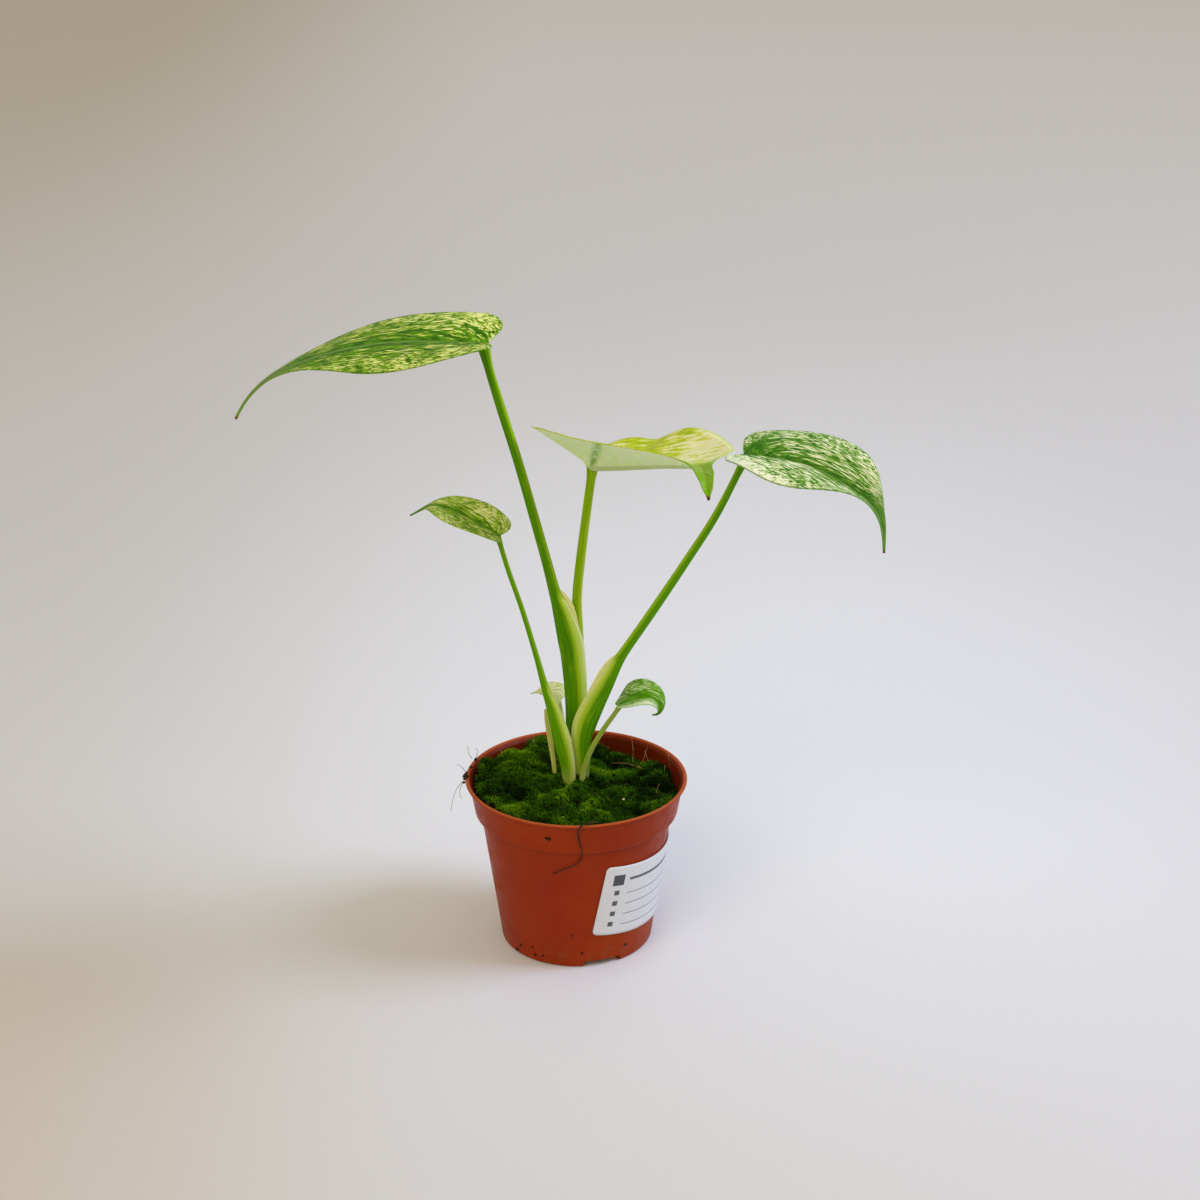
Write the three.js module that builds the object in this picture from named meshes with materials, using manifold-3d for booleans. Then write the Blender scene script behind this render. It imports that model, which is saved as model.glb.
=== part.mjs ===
// A young monstera with marbled leaves in a 9 cm nursery pot.
// Millimetres, +Z up. The origin is the centre of the pot's flat base, and -Y is the front.
// Every piece that grew or was made on its own is a mesh of its own.

import * as THREE from 'three';
import { mergeVertices } from 'three/addons/utils/BufferGeometryUtils.js';
import Module from 'manifold-3d';

const wasm = await Module();
wasm.setup();

const GAP = 0.3;              // clearance between neighbouring pieces
const ROUND_SIDES = 48;       // facets round the pot, the soil and the moss

// The pot: outer radii and heights of a moulded plastic wall.
const POT = {
  height: 71,
  lipRadius: 45, lipDepth: 1.3,
  bandTop: 43.6, bandFoot: 41.2,
  shoulderHeight: 56.5, bodyTop: 38.8, bodyFoot: 30.9,
  wall: 1.0, floor: 1.2, footEdge: 0.8, step: 0.6,
};

// Three shallow notches in the foot, each with a drain hole in the raised floor over it.
const NOTCH = {
  count: 3, firstAngle: -69.5, width: 29, height: 2.7, innerRadius: 23.5,
  roof: 1.2, sideWall: 3, rootedBy: 0.4, drainRadius: 2.4, drainPlace: 27,
};

// The label wraps round the pot's body, slightly askew.
const LABEL = {
  width: 52, height: 32.8, thickness: 0.35, cornerRadius: 1.9,
  middleAngle: -32.5, middleHeight: 29.4, tilt: -3, columns: 18,
};

// Potting mix, and the living moss on top of it.
const SOIL = { bottom: 1.5, top: 57 };
const MOSS = {
  bottom: 57.3, level: 62, edgeGap: 0.4, edgeDrop: 1.2, rings: 11,
  swell: 7.5, swellX: -24, swellY: 7, swellSpread: 35,
  dip: 3.4, dipX: 14, dipY: 24, dipSpread: 15,
  cushions: 34, reach: 40, cushionRadius: 7.5, cushionRise: 3.2, goldenAngle: 137.508,
};

// The short upright stem that the leaf stalks grow from, and the roots under it.
const STEM_BASE = [
  [0, 4, 38, 4.5, 4.5], [0, 4, 50, 7.5, 7], [0, 4.5, 59, 9.5, 8.5],
  [0, 4.6, 64.5, 9, 8.2], [0.3, 4.2, 69, 5.2, 5], [0.8, 3.2, 72.5, 2.4, 2.6],
];
const ROOTS = {
  count: 7, turn: 137.508, startHeight: 47, startRadius: 5.5, reach: 25, depth: 33,
  thick: 1.3, thin: 0.6, sides: 6, steps: 6,
};

// Leaf stalks, from the stem base up: x, y, z, half width across, half width in depth.
const STALKS = {
  left: [
    [0, 6.2, 62, 3.4, 2.6], [0, 7.2, 83, 4.2, 3.3], [0, 7.2, 102, 4.5, 3.5],
    [-1.1, 6.9, 120, 4.9, 3.4], [-2.6, 6.4, 130, 5.0, 3.2], [-5.8, 5.6, 142, 3.6, 2.7],
    [-8.2, 5, 149, 2.4, 2.2], [-11.5, 4, 163, 2.0, 1.9], [-16.5, 3, 183, 1.9, 1.8],
    [-22, 2, 204.5, 1.8, 1.7], [-27.8, 1, 225, 1.8, 1.7], [-32.2, 0.3, 241, 1.7, 1.6],
    [-34.3, 0, 250.6, 1.9, 1.8],
  ],
  middle: [
    [2.2, 6.3, 63, 1.8, 1.6], [2.3, 7.4, 83, 2, 2], [2.2, 7.4, 102, 2, 2],
    [1.6, 7.3, 119, 2, 2], [0.8, 7.3, 134, 2, 2], [0.5, 8, 146, 1.9, 1.9],
    [1.9, 9.3, 161, 1.8, 1.8], [4, 10.8, 178, 1.75, 1.75], [6.6, 11.7, 198, 1.75, 1.75],
  ],
  right: [
    [1.5, 1.8, 62, 2.6, 1.2], [2.2, 1.4, 76, 3.4, 1.6], [1.9, 1.2, 85, 3.9, 1.8],
    [3.4, 1, 93.5, 4.8, 1.9], [7.2, 0.6, 103, 4.5, 1.9], [10.2, 0.3, 109, 3.9, 1.9],
    [13.2, 0, 115, 3.2, 1.9], [16.5, -0.6, 121.5, 2.4, 1.8], [20.4, -1, 128, 1.9, 1.75],
    [31, -2, 145, 1.8, 1.7], [43.2, -2.5, 165, 1.65, 1.6], [54.6, -3, 184.6, 1.5, 1.5],
    [64.8, -3.2, 206.4, 1.3, 1.3],
  ],
  small: [
    [-2.6, -1.6, 62, 2.4, 1.5], [-3.3, -2, 76, 3, 1.8], [-5.6, -2.4, 88, 3.5, 1.8],
    [-9.2, -2.8, 102, 2.6, 1.6], [-12.2, -3.2, 111.5, 1.6, 1.3], [-15.7, -4, 126, 1.15, 1.1],
    [-21, -5, 146, 1, 1], [-26.2, -6, 163, 0.95, 0.95], [-29.7, -5.9, 175.8, 0.95, 0.95],
  ],
  low: [
    [2.6, -2.2, 64, 1.1, 1.1], [2.6, -2.8, 73, 1.1, 1.1], [4.8, -3.1, 81, 1.1, 1.1],
    [7.4, -3.1, 87, 1.05, 1.05], [11.6, -2.2, 93.7, 1, 1], [15.4, -0.8, 98.8, 0.95, 0.95],
    [17, -0.1, 101.1, 0.9, 0.9],
  ],
  cream: [
    [-3.2, 10.8, 63, 0.9, 0.9], [-4.2, 12.6, 76, 0.9, 0.9], [-5.2, 13.2, 87, 0.85, 0.85],
    [-6.8, 14, 97.4, 0.8, 0.8],
  ],
};
const STALK_SIDES = 10;

// A dry sheath, left from the first leaf, stands beside the small leaf's stalk.
const DRY_SHEATH = [
  [-8, 0.6, 64, 0.7, 0.4], [-9.4, 0.6, 79, 1, 0.4], [-10.6, 0.9, 88, 1.2, 0.4],
  [-11.8, 1.1, 95.5, 0.9, 0.38], [-12.4, 1.2, 100, 0.45, 0.35],
];

// One side of a flat blade, from the stalk round its lobe to the drip tip: the share of the
// length, the share of the half width, and where along the rib that point's side vein starts.
const BLADE_OUTLINE = [
  [0, 0, 0], [-0.045, 0.16, 0.006], [-0.1, 0.38, 0.012], [-0.115, 0.6, 0.02],
  [-0.06, 0.83, 0.03], [0.07, 0.98, 0.05], [0.25, 0.985, 0.11], [0.44, 0.81, 0.235],
  [0.6, 0.53, 0.41], [0.72, 0.28, 0.58], [0.81, 0.13, 0.74], [0.9, 0.055, 0.88], [1, 0, 1],
];
const BLADE_RIB_THICKNESS = 1.1;
const BLADE_MARGIN_THICKNESS = 0.7;
const VEIN_SWEEP = 1.25;      // side veins leave the rib slowly, then run to the margin
const RIB_STEPS = 120;

// Each blade: where it joins its stalk, its size, and in degrees along the rib how it heads
// round +Z, pitches above the horizon, rolls, and how its left and right halves fold upwards.
// lobes scales how far the left and right lobes reach back, cup hollows the halves and droop
// lowers the lobes. wave is a dip in the left margin: its depth, share of the rib and spread.
const BLADES = {
  left: {
    base: [-33.5, 0, 251.9], length: 105, half: 28,
    heading: [182, 187, 228], pitch: [6, 0, -11, -20, -57], roll: [-5, 14],
    left: [26, -7, 16], right: [17, 13, -20], lobes: [0.16, 0.48], cup: [-0.17, -0.17],
    droop: [0, 0], rows: 26, columns: 4,
  },
  middle: {
    base: [6.2, 12, 199.7], length: 119, half: 36,
    heading: [-51, -68, -88], pitch: [14, 17, 17, 13, -25], roll: [-16, 0],
    left: [2, -6, 40], right: [29, 21, 29], lobes: [1.8, 0.77], cup: [0.5, -0.12],
    droop: [2, 16], wave: [3.4, -0.01, 0.075], rows: 26, columns: 4,
  },
  right: {
    base: [64.9, -3, 207.9], length: 88, half: 24.5,
    heading: [-22, -54, -86], pitch: [10, 0, -9, -11, -78], roll: [10, -4],
    left: [19, 34, 43], right: [40, 17, 62], lobes: [0.3, 0.2], cup: [-0.33, -0.33],
    droop: [0, 0], rows: 26, columns: 4,
  },
  small: {
    base: [-29.3, -6, 177.1], length: 48, half: 12,
    heading: [167, 141, 139], pitch: [33, 17, 5, -26, -33], roll: [-2, -17],
    left: [14, 8, 12], right: [13, 10, 21], lobes: [0.3, 0.3], cup: [-0.02, -0.02],
    droop: [0, 0], rows: 20, columns: 3,
  },
  low: {
    base: [16.9, 0, 102], length: 25, half: 12,
    heading: [8, 3, -26], pitch: [19, 20, -10, -75, -181], roll: [-16, 41],
    left: [2, 22, 41], right: [7, 18, 14], lobes: [0.3, 0.3], cup: [-0.03, -0.03],
    droop: [0, 0], rows: 20, columns: 3,
  },
  cream: {
    base: [-6.5, 14, 98.4], length: 13, half: 6.5,
    heading: [170, 180, 190], pitch: [42, 28, 12, -2, -15], roll: [-20, -20],
    left: [15, 20, 20], right: [15, 20, 20], lobes: [0.5, 0.5], cup: [0, 0],
    droop: [0, 0], rows: 14, columns: 3,
  },
};

const COLOURS = {
  pot: 0xa04a30, label: 0xe9e9e6, soil: 0x2a1d14, moss: 0x2f5a14, stemBase: 0x9aa86a,
  stalk: 0x5a8f1c, drySheath: 0xc9c98a, blade: 0x4f8a2e, paleBlade: 0xc3cf62, creamBlade: 0xdcdcae,
};

const root = new THREE.Group();

function radians(degrees) {
  return degrees * Math.PI / 180;
}

// Straight interpolation of y from x0, y0 to x1, y1.
function between(x, x0, y0, x1, y1) {
  return y0 + (y1 - y0) * (x - x0) / (x1 - x0);
}

// A smooth curve through evenly spaced numbers, read at t from 0 to 1.
function along(values, t) {
  const last = values.length - 1;
  const place = Math.min(Math.max(t, 0), 1) * last;
  const i = Math.min(Math.floor(place), last - 1);
  const f = place - i;
  const b = values[i];
  const c = values[i + 1];
  const a = i > 0 ? values[i - 1] : 2 * b - c;
  const d = i < last - 1 ? values[i + 2] : 2 * c - b;
  const square = 2 * a - 5 * b + 4 * c - d;
  const cube = 3 * b - a - 3 * c + d;
  return 0.5 * (2 * b + (c - a) * f + square * f * f + cube * f * f * f);
}

function smoothCurve(points) {
  const corners = points.map(([x, y, z]) => new THREE.Vector3(x, y, z));
  return new THREE.CatmullRomCurve3(corners, false, 'catmullrom', 0.5);
}

function signedVolume(positions, index) {
  const a = new THREE.Vector3();
  const b = new THREE.Vector3();
  const c = new THREE.Vector3();
  let sum = 0;
  for (let i = 0; i < index.length; i += 3) {
    a.fromArray(positions, 3 * index[i]);
    b.fromArray(positions, 3 * index[i + 1]);
    c.fromArray(positions, 3 * index[i + 2]);
    sum += a.dot(b.cross(c));
  }
  return sum / 6;
}

// Keeps positions only, joins shared corners, drops empty triangles and faces the rest outwards.
function closedGeometry(geometry) {
  const bare = geometry.clone();
  for (const name of Object.keys(bare.attributes)) {
    if (name !== 'position') bare.deleteAttribute(name);
  }
  const merged = mergeVertices(bare, 1e-3);
  const positions = merged.attributes.position.array;
  const old = merged.index.array;
  const index = [];
  for (let i = 0; i < old.length; i += 3) {
    const [a, b, c] = [old[i], old[i + 1], old[i + 2]];
    if (a !== b && b !== c && c !== a) index.push(a, b, c);
  }
  if (signedVolume(positions, index) < 0) index.reverse();
  merged.setIndex(index);
  return merged;
}

function solid(geometry) {
  const closed = closedGeometry(geometry);
  return new wasm.Manifold(new wasm.Mesh({
    numProp: 3,
    vertProperties: new Float32Array(closed.attributes.position.array),
    triVerts: new Uint32Array(closed.index.array),
  }));
}

// The largest body of a cut solid, as a geometry. Loose scraps between cuts are dropped.
function largestPiece(cut) {
  const bodies = cut.decompose().sort((a, b) => b.volume() - a.volume());
  const mesh = bodies[0].getMesh();
  const geometry = new THREE.BufferGeometry();
  geometry.setAttribute('position', new THREE.BufferAttribute(mesh.vertProperties, 3));
  geometry.setIndex(new THREE.BufferAttribute(mesh.triVerts, 1));
  return geometry;
}

function addPiece(name, geometry, color, roughness) {
  const closed = closedGeometry(geometry);
  closed.computeVertexNormals();
  const material = new THREE.MeshStandardMaterial({ color, roughness, metalness: 0 });
  const mesh = new THREE.Mesh(closed, material);
  mesh.name = name;
  root.add(mesh);
}

// A geometry from rings of points. Rings are joined in order and both ends are closed.
function skin(rings) {
  const sides = rings[0].length;
  const positions = rings.flat().flatMap((point) => point.toArray());
  const index = [];
  for (let i = 0; i + 1 < rings.length; i += 1) {
    for (let j = 0; j < sides; j += 1) {
      const next = (j + 1) % sides;
      const [a, b] = [i * sides + j, i * sides + next];
      index.push(a, b, b + sides, a, b + sides, a + sides);
    }
  }
  const lastRing = (rings.length - 1) * sides;
  for (let j = 1; j + 1 < sides; j += 1) {
    index.push(0, j + 1, j, lastRing, lastRing + j, lastRing + j + 1);
  }
  const geometry = new THREE.BufferGeometry();
  geometry.setAttribute('position', new THREE.Float32BufferAttribute(positions, 3));
  geometry.setIndex(index);
  return geometry;
}

// A body turned about +Z from an outline of radius and height pairs that starts and ends on it.
function turned(profile, sides = ROUND_SIDES) {
  const corners = profile.map(([radius, height]) => new THREE.Vector2(radius, height));
  return new THREE.LatheGeometry(corners, sides).rotateX(Math.PI / 2);
}

// A block shaped as a sector of a ring about +Z.
function ringSector(innerRadius, outerRadius, middleAngle, width, bottom, top) {
  const from = radians(middleAngle - width / 2);
  const to = radians(middleAngle + width / 2);
  const shape = new THREE.Shape();
  shape.absarc(0, 0, outerRadius, from, to, false);
  shape.absarc(0, 0, innerRadius, to, from, true);
  shape.closePath();
  const options = { depth: top - bottom, bevelEnabled: false, curveSegments: 6 };
  return new THREE.ExtrudeGeometry(shape, options).translate(0, 0, bottom);
}

// A stalk or root: elliptical rings along a smooth line, grown all round by extra.
function stalk(stations, steps, sides, extra = 0) {
  const curve = smoothCurve(stations);
  const halfWidths = stations.map((station) => station[3]);
  const halfDepths = stations.map((station) => station[4]);
  const depthWay = new THREE.Vector3(0, 1, 0);
  const rings = [];
  for (let i = 0; i <= steps; i += 1) {
    const t = i / steps;
    const forward = curve.getTangent(t);
    const across = new THREE.Vector3().crossVectors(depthWay, forward).normalize();
    const deep = new THREE.Vector3().crossVectors(forward, across);
    const end = i === 0 ? -extra : i === steps ? extra : 0;
    const middle = curve.getPoint(t).addScaledVector(forward, end);
    const ring = [];
    for (let j = 0; j < sides; j += 1) {
      const angle = 2 * Math.PI * j / sides;
      ring.push(middle.clone()
        .addScaledVector(across, (along(halfWidths, t) + extra) * Math.cos(angle))
        .addScaledVector(deep, (along(halfDepths, t) + extra) * Math.sin(angle)));
    }
    rings.push(ring);
  }
  return skin(rings);
}

function bodyRadius(z) {
  return between(z, POT.footEdge, POT.bodyFoot, POT.shoulderHeight, POT.bodyTop);
}

function bandRadius(z) {
  return between(z, POT.shoulderHeight, POT.bandFoot, POT.height, POT.bandTop);
}

function notchAngles() {
  const turn = 360 / NOTCH.count;
  return Array.from({ length: NOTCH.count }, (_, i) => NOTCH.firstAngle + i * turn);
}

// The raised piece of floor over a notch, or with extra the room that the soil leaves for it.
function notchRoof(angle, extra) {
  const spread = NOTCH.width + 2 * NOTCH.sideWall + NOTCH.sideWall * extra;
  const outer = POT.bodyFoot - NOTCH.rootedBy + 4 * extra;
  return solid(ringSector(NOTCH.innerRadius - NOTCH.roof - extra, outer, angle, spread,
    POT.floor - NOTCH.rootedBy, NOTCH.height + NOTCH.roof + extra));
}

function makePot() {
  const { height, lipRadius, lipDepth, wall, floor, shoulderHeight } = POT;
  const lipFoot = height - lipDepth;
  const step = shoulderHeight + wall;
  const profile = [
    [0, 0], [POT.bodyFoot - POT.footEdge, 0], [POT.bodyFoot, POT.footEdge],
    [POT.bodyTop, shoulderHeight - 0.4], [POT.bandFoot - POT.step, shoulderHeight],
    [POT.bandFoot, shoulderHeight + POT.step], [bandRadius(lipFoot), lipFoot - 0.2],
    [lipRadius - 0.25, lipFoot], [lipRadius, height - 0.7], [lipRadius - 0.25, height - 0.15],
    [lipRadius - 0.8, height], [lipRadius - 1.5, height - 0.3], [lipRadius - 1.8, height - 1],
    [bandRadius(lipFoot) - wall, lipFoot - 0.6], [POT.bandFoot - wall, step + POT.step],
    [POT.bandFoot - wall - POT.step, step], [POT.bodyTop - wall, step - 0.5],
    [bodyRadius(2) - wall, 2], [bodyRadius(2) - wall - 0.8, floor], [0, floor],
  ];
  let pot = solid(turned(profile));
  for (const angle of notchAngles()) {
    const recess = ringSector(NOTCH.innerRadius, POT.bodyFoot + 4, angle, NOTCH.width,
      -1, NOTCH.height);
    const hole = new THREE.CylinderGeometry(NOTCH.drainRadius, NOTCH.drainRadius, 4, 16)
      .rotateX(Math.PI / 2)
      .translate(NOTCH.drainPlace, 0, NOTCH.height + 0.5)
      .rotateZ(radians(angle));
    pot = pot.add(notchRoof(angle, 0)).subtract(solid(recess)).subtract(solid(hole));
  }
  addPiece('pot', largestPiece(pot), COLOURS.pot, 0.45);
}

// A place on the label, which is drawn on the body's cone unrolled flat, then wrapped round it.
function labelPoint(across, up, lift) {
  const { middleHeight } = LABEL;
  const slope = (POT.bodyTop - POT.bodyFoot) / (POT.shoulderHeight - POT.footEdge);
  const lean = Math.atan(slope);
  const coneTip = middleHeight - bodyRadius(middleHeight) / slope;
  const tilt = radians(LABEL.tilt);
  const x = across * Math.cos(tilt) - up * Math.sin(tilt);
  const y = (middleHeight - coneTip) / Math.cos(lean)
    + across * Math.sin(tilt) + up * Math.cos(tilt);
  const slant = Math.hypot(x, y);
  const angle = radians(LABEL.middleAngle) + Math.atan2(x, y) / Math.sin(lean);
  const radius = slant * Math.sin(lean) + GAP + lift;
  const z = coneTip + slant * Math.cos(lean);
  return new THREE.Vector3(radius * Math.cos(angle), radius * Math.sin(angle), z);
}

// The label is a thin plate. Its columns shorten at the rounded corners.
function makeLabel() {
  const { width, height, thickness, cornerRadius, columns } = LABEL;
  const places = [0, 0.3, 1].map((share) => share * cornerRadius);
  for (let i = 1; i < columns; i += 1) places.push(between(i, 0, cornerRadius, columns, width / 2));
  const rightHalf = places.map((place) => width / 2 - place);
  const acrossPlaces = [...rightHalf.map((place) => -place), 0, ...rightHalf.reverse()];
  const rings = acrossPlaces.map((place) => {
    const fromEnd = width / 2 - Math.abs(place);
    const inCorner = Math.max(cornerRadius - fromEnd, 0);
    const cut = cornerRadius - Math.sqrt(cornerRadius ** 2 - inCorner ** 2);
    const half = height / 2 - cut;
    return [labelPoint(place, -half, 0), labelPoint(place, half, 0),
      labelPoint(place, half, thickness), labelPoint(place, -half, thickness)];
  });
  addPiece('label', skin(rings), COLOURS.label, 0.5);
}

// Where the moss bulges: round cushions on a spiral of even spacing, over a broad swell and a dip.
function mossHeight(x, y) {
  const swellDistance = Math.hypot(x - MOSS.swellX, y - MOSS.swellY) / MOSS.swellSpread;
  const dipDistance = Math.hypot(x - MOSS.dipX, y - MOSS.dipY) / MOSS.dipSpread;
  const broad = MOSS.swell * Math.exp(-(swellDistance ** 2))
    - MOSS.dip * Math.exp(-(dipDistance ** 2));
  let rise = 0;
  for (let i = 0; i < MOSS.cushions; i += 1) {
    const angle = radians(i * MOSS.goldenAngle);
    const reach = MOSS.reach * Math.sqrt((i + 0.5) / MOSS.cushions);
    const radius = MOSS.cushionRadius * (1 + 0.3 * Math.sin(5 * i));
    const distance = Math.hypot(x - reach * Math.cos(angle), y - reach * Math.sin(angle)) / radius;
    const dome = Math.sqrt(Math.max(1 - distance ** 2, 0));
    rise = Math.max(rise, dome * MOSS.cushionRise * (1 + 0.4 * Math.cos(3 * i)));
  }
  return MOSS.level + broad + rise;
}

function mossEdge(z) {
  return bandRadius(z) - POT.wall - MOSS.edgeGap;
}

function mossMat() {
  const ring = (radiusAt, heightAt) => Array.from({ length: ROUND_SIDES }, (_, j) => {
    const angle = 2 * Math.PI * j / ROUND_SIDES;
    const radius = radiusAt(angle);
    const [x, y] = [radius * Math.cos(angle), radius * Math.sin(angle)];
    return new THREE.Vector3(x, y, heightAt(x, y));
  });
  const edge = mossEdge(MOSS.level - 2);
  const foot = POT.bodyTop - POT.wall - MOSS.edgeGap;
  const sideHeight = POT.shoulderHeight + POT.wall + 1.2;
  const rings = [
    ring(() => 0.01, () => MOSS.bottom),
    ring(() => foot, () => MOSS.bottom),
    ring(() => mossEdge(sideHeight), () => sideHeight),
  ];
  for (let i = MOSS.rings; i >= 1; i -= 1) {
    const share = i / MOSS.rings;
    const lift = i === MOSS.rings ? -MOSS.edgeDrop : 0;
    rings.push(ring(() => edge * share, (x, y) => mossHeight(x, y) + lift));
  }
  rings.push(ring(() => 0.01, mossHeight));
  return skin(rings);
}

function soilPlug() {
  const gap = GAP + 0.1;
  const inside = (z) => bodyRadius(z) - POT.wall - gap;
  return turned([
    [0, SOIL.bottom], [inside(2) - 1, SOIL.bottom], [inside(2.6), 2.6],
    [inside(SOIL.top - 1.5), SOIL.top - 1.5], [inside(SOIL.top - 1.5) - 1, SOIL.top],
    [0, SOIL.top],
  ]);
}

// The stem base with its roots, grown all round by extra.
function stemBase(extra) {
  let body = solid(stalk(STEM_BASE, 14, 14, extra));
  for (let i = 0; i < ROOTS.count; i += 1) {
    const angle = radians(i * ROOTS.turn);
    const [way, side] = [Math.cos(angle), Math.sin(angle)];
    const stations = [0, 0.35, 0.7, 1].map((share) => {
      const radius = between(Math.sqrt(share), 0, ROOTS.startRadius - 2, 1, ROOTS.reach);
      const drop = ROOTS.depth * share ** 1.4 * (1 - 0.25 * Math.sin(2 * i));
      const thickness = between(share, 0, ROOTS.thick, 1, ROOTS.thin);
      return [radius * way, 4 * (1 - share) + radius * side, ROOTS.startHeight - drop,
        thickness, thickness];
    });
    body = body.add(solid(stalk(stations, ROOTS.steps, ROOTS.sides, extra)));
  }
  return body;
}

const STALK_STEPS = { left: 26, middle: 20, right: 26, small: 18, low: 12, cream: 6 };

function grownStalk(name) {
  return solid(stalk(STALKS[name], STALK_STEPS[name], STALK_SIDES, GAP));
}

// Stalks, dry sheath, stem base, soil and moss. Each stands in a plain hole of what holds it.
function makeGrowth() {
  const grown = Object.keys(STALKS).map(grownStalk);
  grown.push(solid(stalk(DRY_SHEATH, 8, 8, GAP)));
  const grownStems = wasm.Manifold.union(grown);
  addPiece('stem_base', largestPiece(stemBase(0).subtract(grownStems)), COLOURS.stemBase, 0.6);

  const grownBase = stemBase(GAP);
  const grownRoofs = wasm.Manifold.union(notchAngles().map((angle) => notchRoof(angle, GAP)));
  const soil = solid(soilPlug()).subtract(grownBase).subtract(grownRoofs);
  addPiece('soil', largestPiece(soil), COLOURS.soil, 0.95);
  const moss = solid(mossMat()).subtract(grownBase).subtract(grownStems);
  addPiece('moss', largestPiece(moss), COLOURS.moss, 0.95);

  for (const name of Object.keys(STALKS)) {
    let body = solid(stalk(STALKS[name], STALK_STEPS[name], STALK_SIDES));
    if (name === 'left') body = body.subtract(grownStalk('middle'));
    addPiece(`stalk_${name}`, largestPiece(body), COLOURS.stalk, 0.4);
  }
  addPiece('dry_sheath', stalk(DRY_SHEATH, 8, 8), COLOURS.drySheath, 0.8);
}

// Points along a blade's rib with the directions forward, to its left and up from its face.
function ribFrames(blade) {
  const frames = [];
  const place = new THREE.Vector3(...blade.base);
  const step = blade.length / RIB_STEPS;
  for (let i = 0; i <= RIB_STEPS; i += 1) {
    const t = i / RIB_STEPS;
    const pitch = radians(along(blade.pitch, t));
    const heading = radians(along(blade.heading, t));
    const roll = radians(along(blade.roll, t));
    const forward = new THREE.Vector3(Math.cos(pitch) * Math.cos(heading),
      Math.cos(pitch) * Math.sin(heading), Math.sin(pitch));
    const left = new THREE.Vector3(-Math.sin(heading), Math.cos(heading), 0);
    const up = new THREE.Vector3().crossVectors(forward, left);
    const rolledLeft = left.clone().multiplyScalar(Math.cos(roll))
      .addScaledVector(up, Math.sin(roll));
    const rolledUp = up.clone().multiplyScalar(Math.cos(roll))
      .addScaledVector(left, -Math.sin(roll));
    frames.push({ place: place.clone(), forward, left: rolledLeft, up: rolledUp });
    place.addScaledVector(forward, step);
  }
  return frames;
}

function frameAt(frames, share) {
  const place = Math.min(Math.max(share, 0), 1) * RIB_STEPS;
  const i = Math.min(Math.floor(place), RIB_STEPS - 1);
  const f = place - i;
  const mix = (key) => frames[i][key].clone().lerp(frames[i + 1][key], f);
  return { place: mix('place'), forward: mix('forward'), left: mix('left'), up: mix('up') };
}

// The middle surface of a blade at row t from stalk to tip and side v from -1, right, to 1, left.
function bladePoint(blade, frames, outline, t, v) {
  const { x: reach, y: width, z: foot } = outline.getPoint(t);
  const side = v > 0 ? 0 : 1;
  const lobe = reach < 0 ? blade.lobes[side] : 1;
  const share = foot + (reach * lobe - foot) * Math.abs(v) ** VEIN_SWEEP;
  const frame = frameAt(frames, share);
  const fold = radians(along(v > 0 ? blade.left : blade.right, share));
  const out = Math.abs(width * v * blade.half);
  const back = Math.min(share, 0) * blade.length;
  const droop = radians(blade.droop[side]);
  const hollow = blade.cup[side] * out * out / blade.half;
  const [depth, middle, spread] = blade.wave && v > 0 ? blade.wave : [0, 0, 1];
  const dip = depth * v * v * Math.exp(-(((share - middle) / spread) ** 2));
  const lift = out * Math.sin(fold) + hollow - back * Math.sin(droop) - dip;
  return frame.place
    .addScaledVector(frame.forward, back * Math.cos(droop))
    .addScaledVector(frame.left, Math.sign(v) * out * Math.cos(fold))
    .addScaledVector(frame.up, lift);
}

// A closed thin body: the same triangles on both faces, joined by a strip round the margin.
function bladeGeometry(blade) {
  const frames = ribFrames(blade);
  const outline = smoothCurve(BLADE_OUTLINE);
  const { rows, columns } = blade;
  const wide = 2 * columns + 1;
  const points = [bladePoint(blade, frames, outline, 0, 0)];
  const shares = [0];
  for (let i = 1; i < rows; i += 1) {
    for (let j = 0; j < wide; j += 1) {
      const v = j / columns - 1;
      points.push(bladePoint(blade, frames, outline, i / rows, v));
      shares.push(Math.abs(v));
    }
  }
  points.push(bladePoint(blade, frames, outline, 1, 0));
  shares.push(1);
  const tip = points.length - 1;
  const at = (i, j) => 1 + (i - 1) * wide + j;
  const face = [];
  for (let j = 0; j + 1 < wide; j += 1) {
    face.push(0, at(1, j + 1), at(1, j), tip, at(rows - 1, j), at(rows - 1, j + 1));
    for (let i = 1; i + 1 < rows; i += 1) {
      const [a, b, c, d] = [at(i, j), at(i, j + 1), at(i + 1, j + 1), at(i + 1, j)];
      face.push(...(j < columns ? [a, b, c, a, c, d] : [a, b, d, b, c, d]));
    }
  }
  const margin = [0];
  for (let i = 1; i < rows; i += 1) margin.push(at(i, 0));
  margin.push(tip);
  for (let i = rows - 1; i >= 1; i -= 1) margin.push(at(i, wide - 1));

  const middle = new THREE.BufferGeometry().setFromPoints(points);
  middle.setIndex(face);
  middle.computeVertexNormals();
  const normals = middle.attributes.normal;
  const count = points.length;
  const positions = [];
  for (const side of [1, -1]) {
    for (let i = 0; i < count; i += 1) {
      const thickness = between(shares[i], 0, BLADE_RIB_THICKNESS, 1, BLADE_MARGIN_THICKNESS);
      const normal = new THREE.Vector3().fromBufferAttribute(normals, i);
      positions.push(...points[i].clone().addScaledVector(normal, side * thickness / 2).toArray());
    }
  }
  const index = [...face];
  for (let i = 0; i < face.length; i += 3) {
    index.push(count + face[i], count + face[i + 2], count + face[i + 1]);
  }
  margin.forEach((a, i) => {
    const b = margin[(i + 1) % margin.length];
    index.push(a, b, count + b, a, count + b, count + a);
  });
  const geometry = new THREE.BufferGeometry();
  geometry.setAttribute('position', new THREE.Float32BufferAttribute(positions, 3));
  geometry.setIndex(index);
  return geometry;
}

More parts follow.
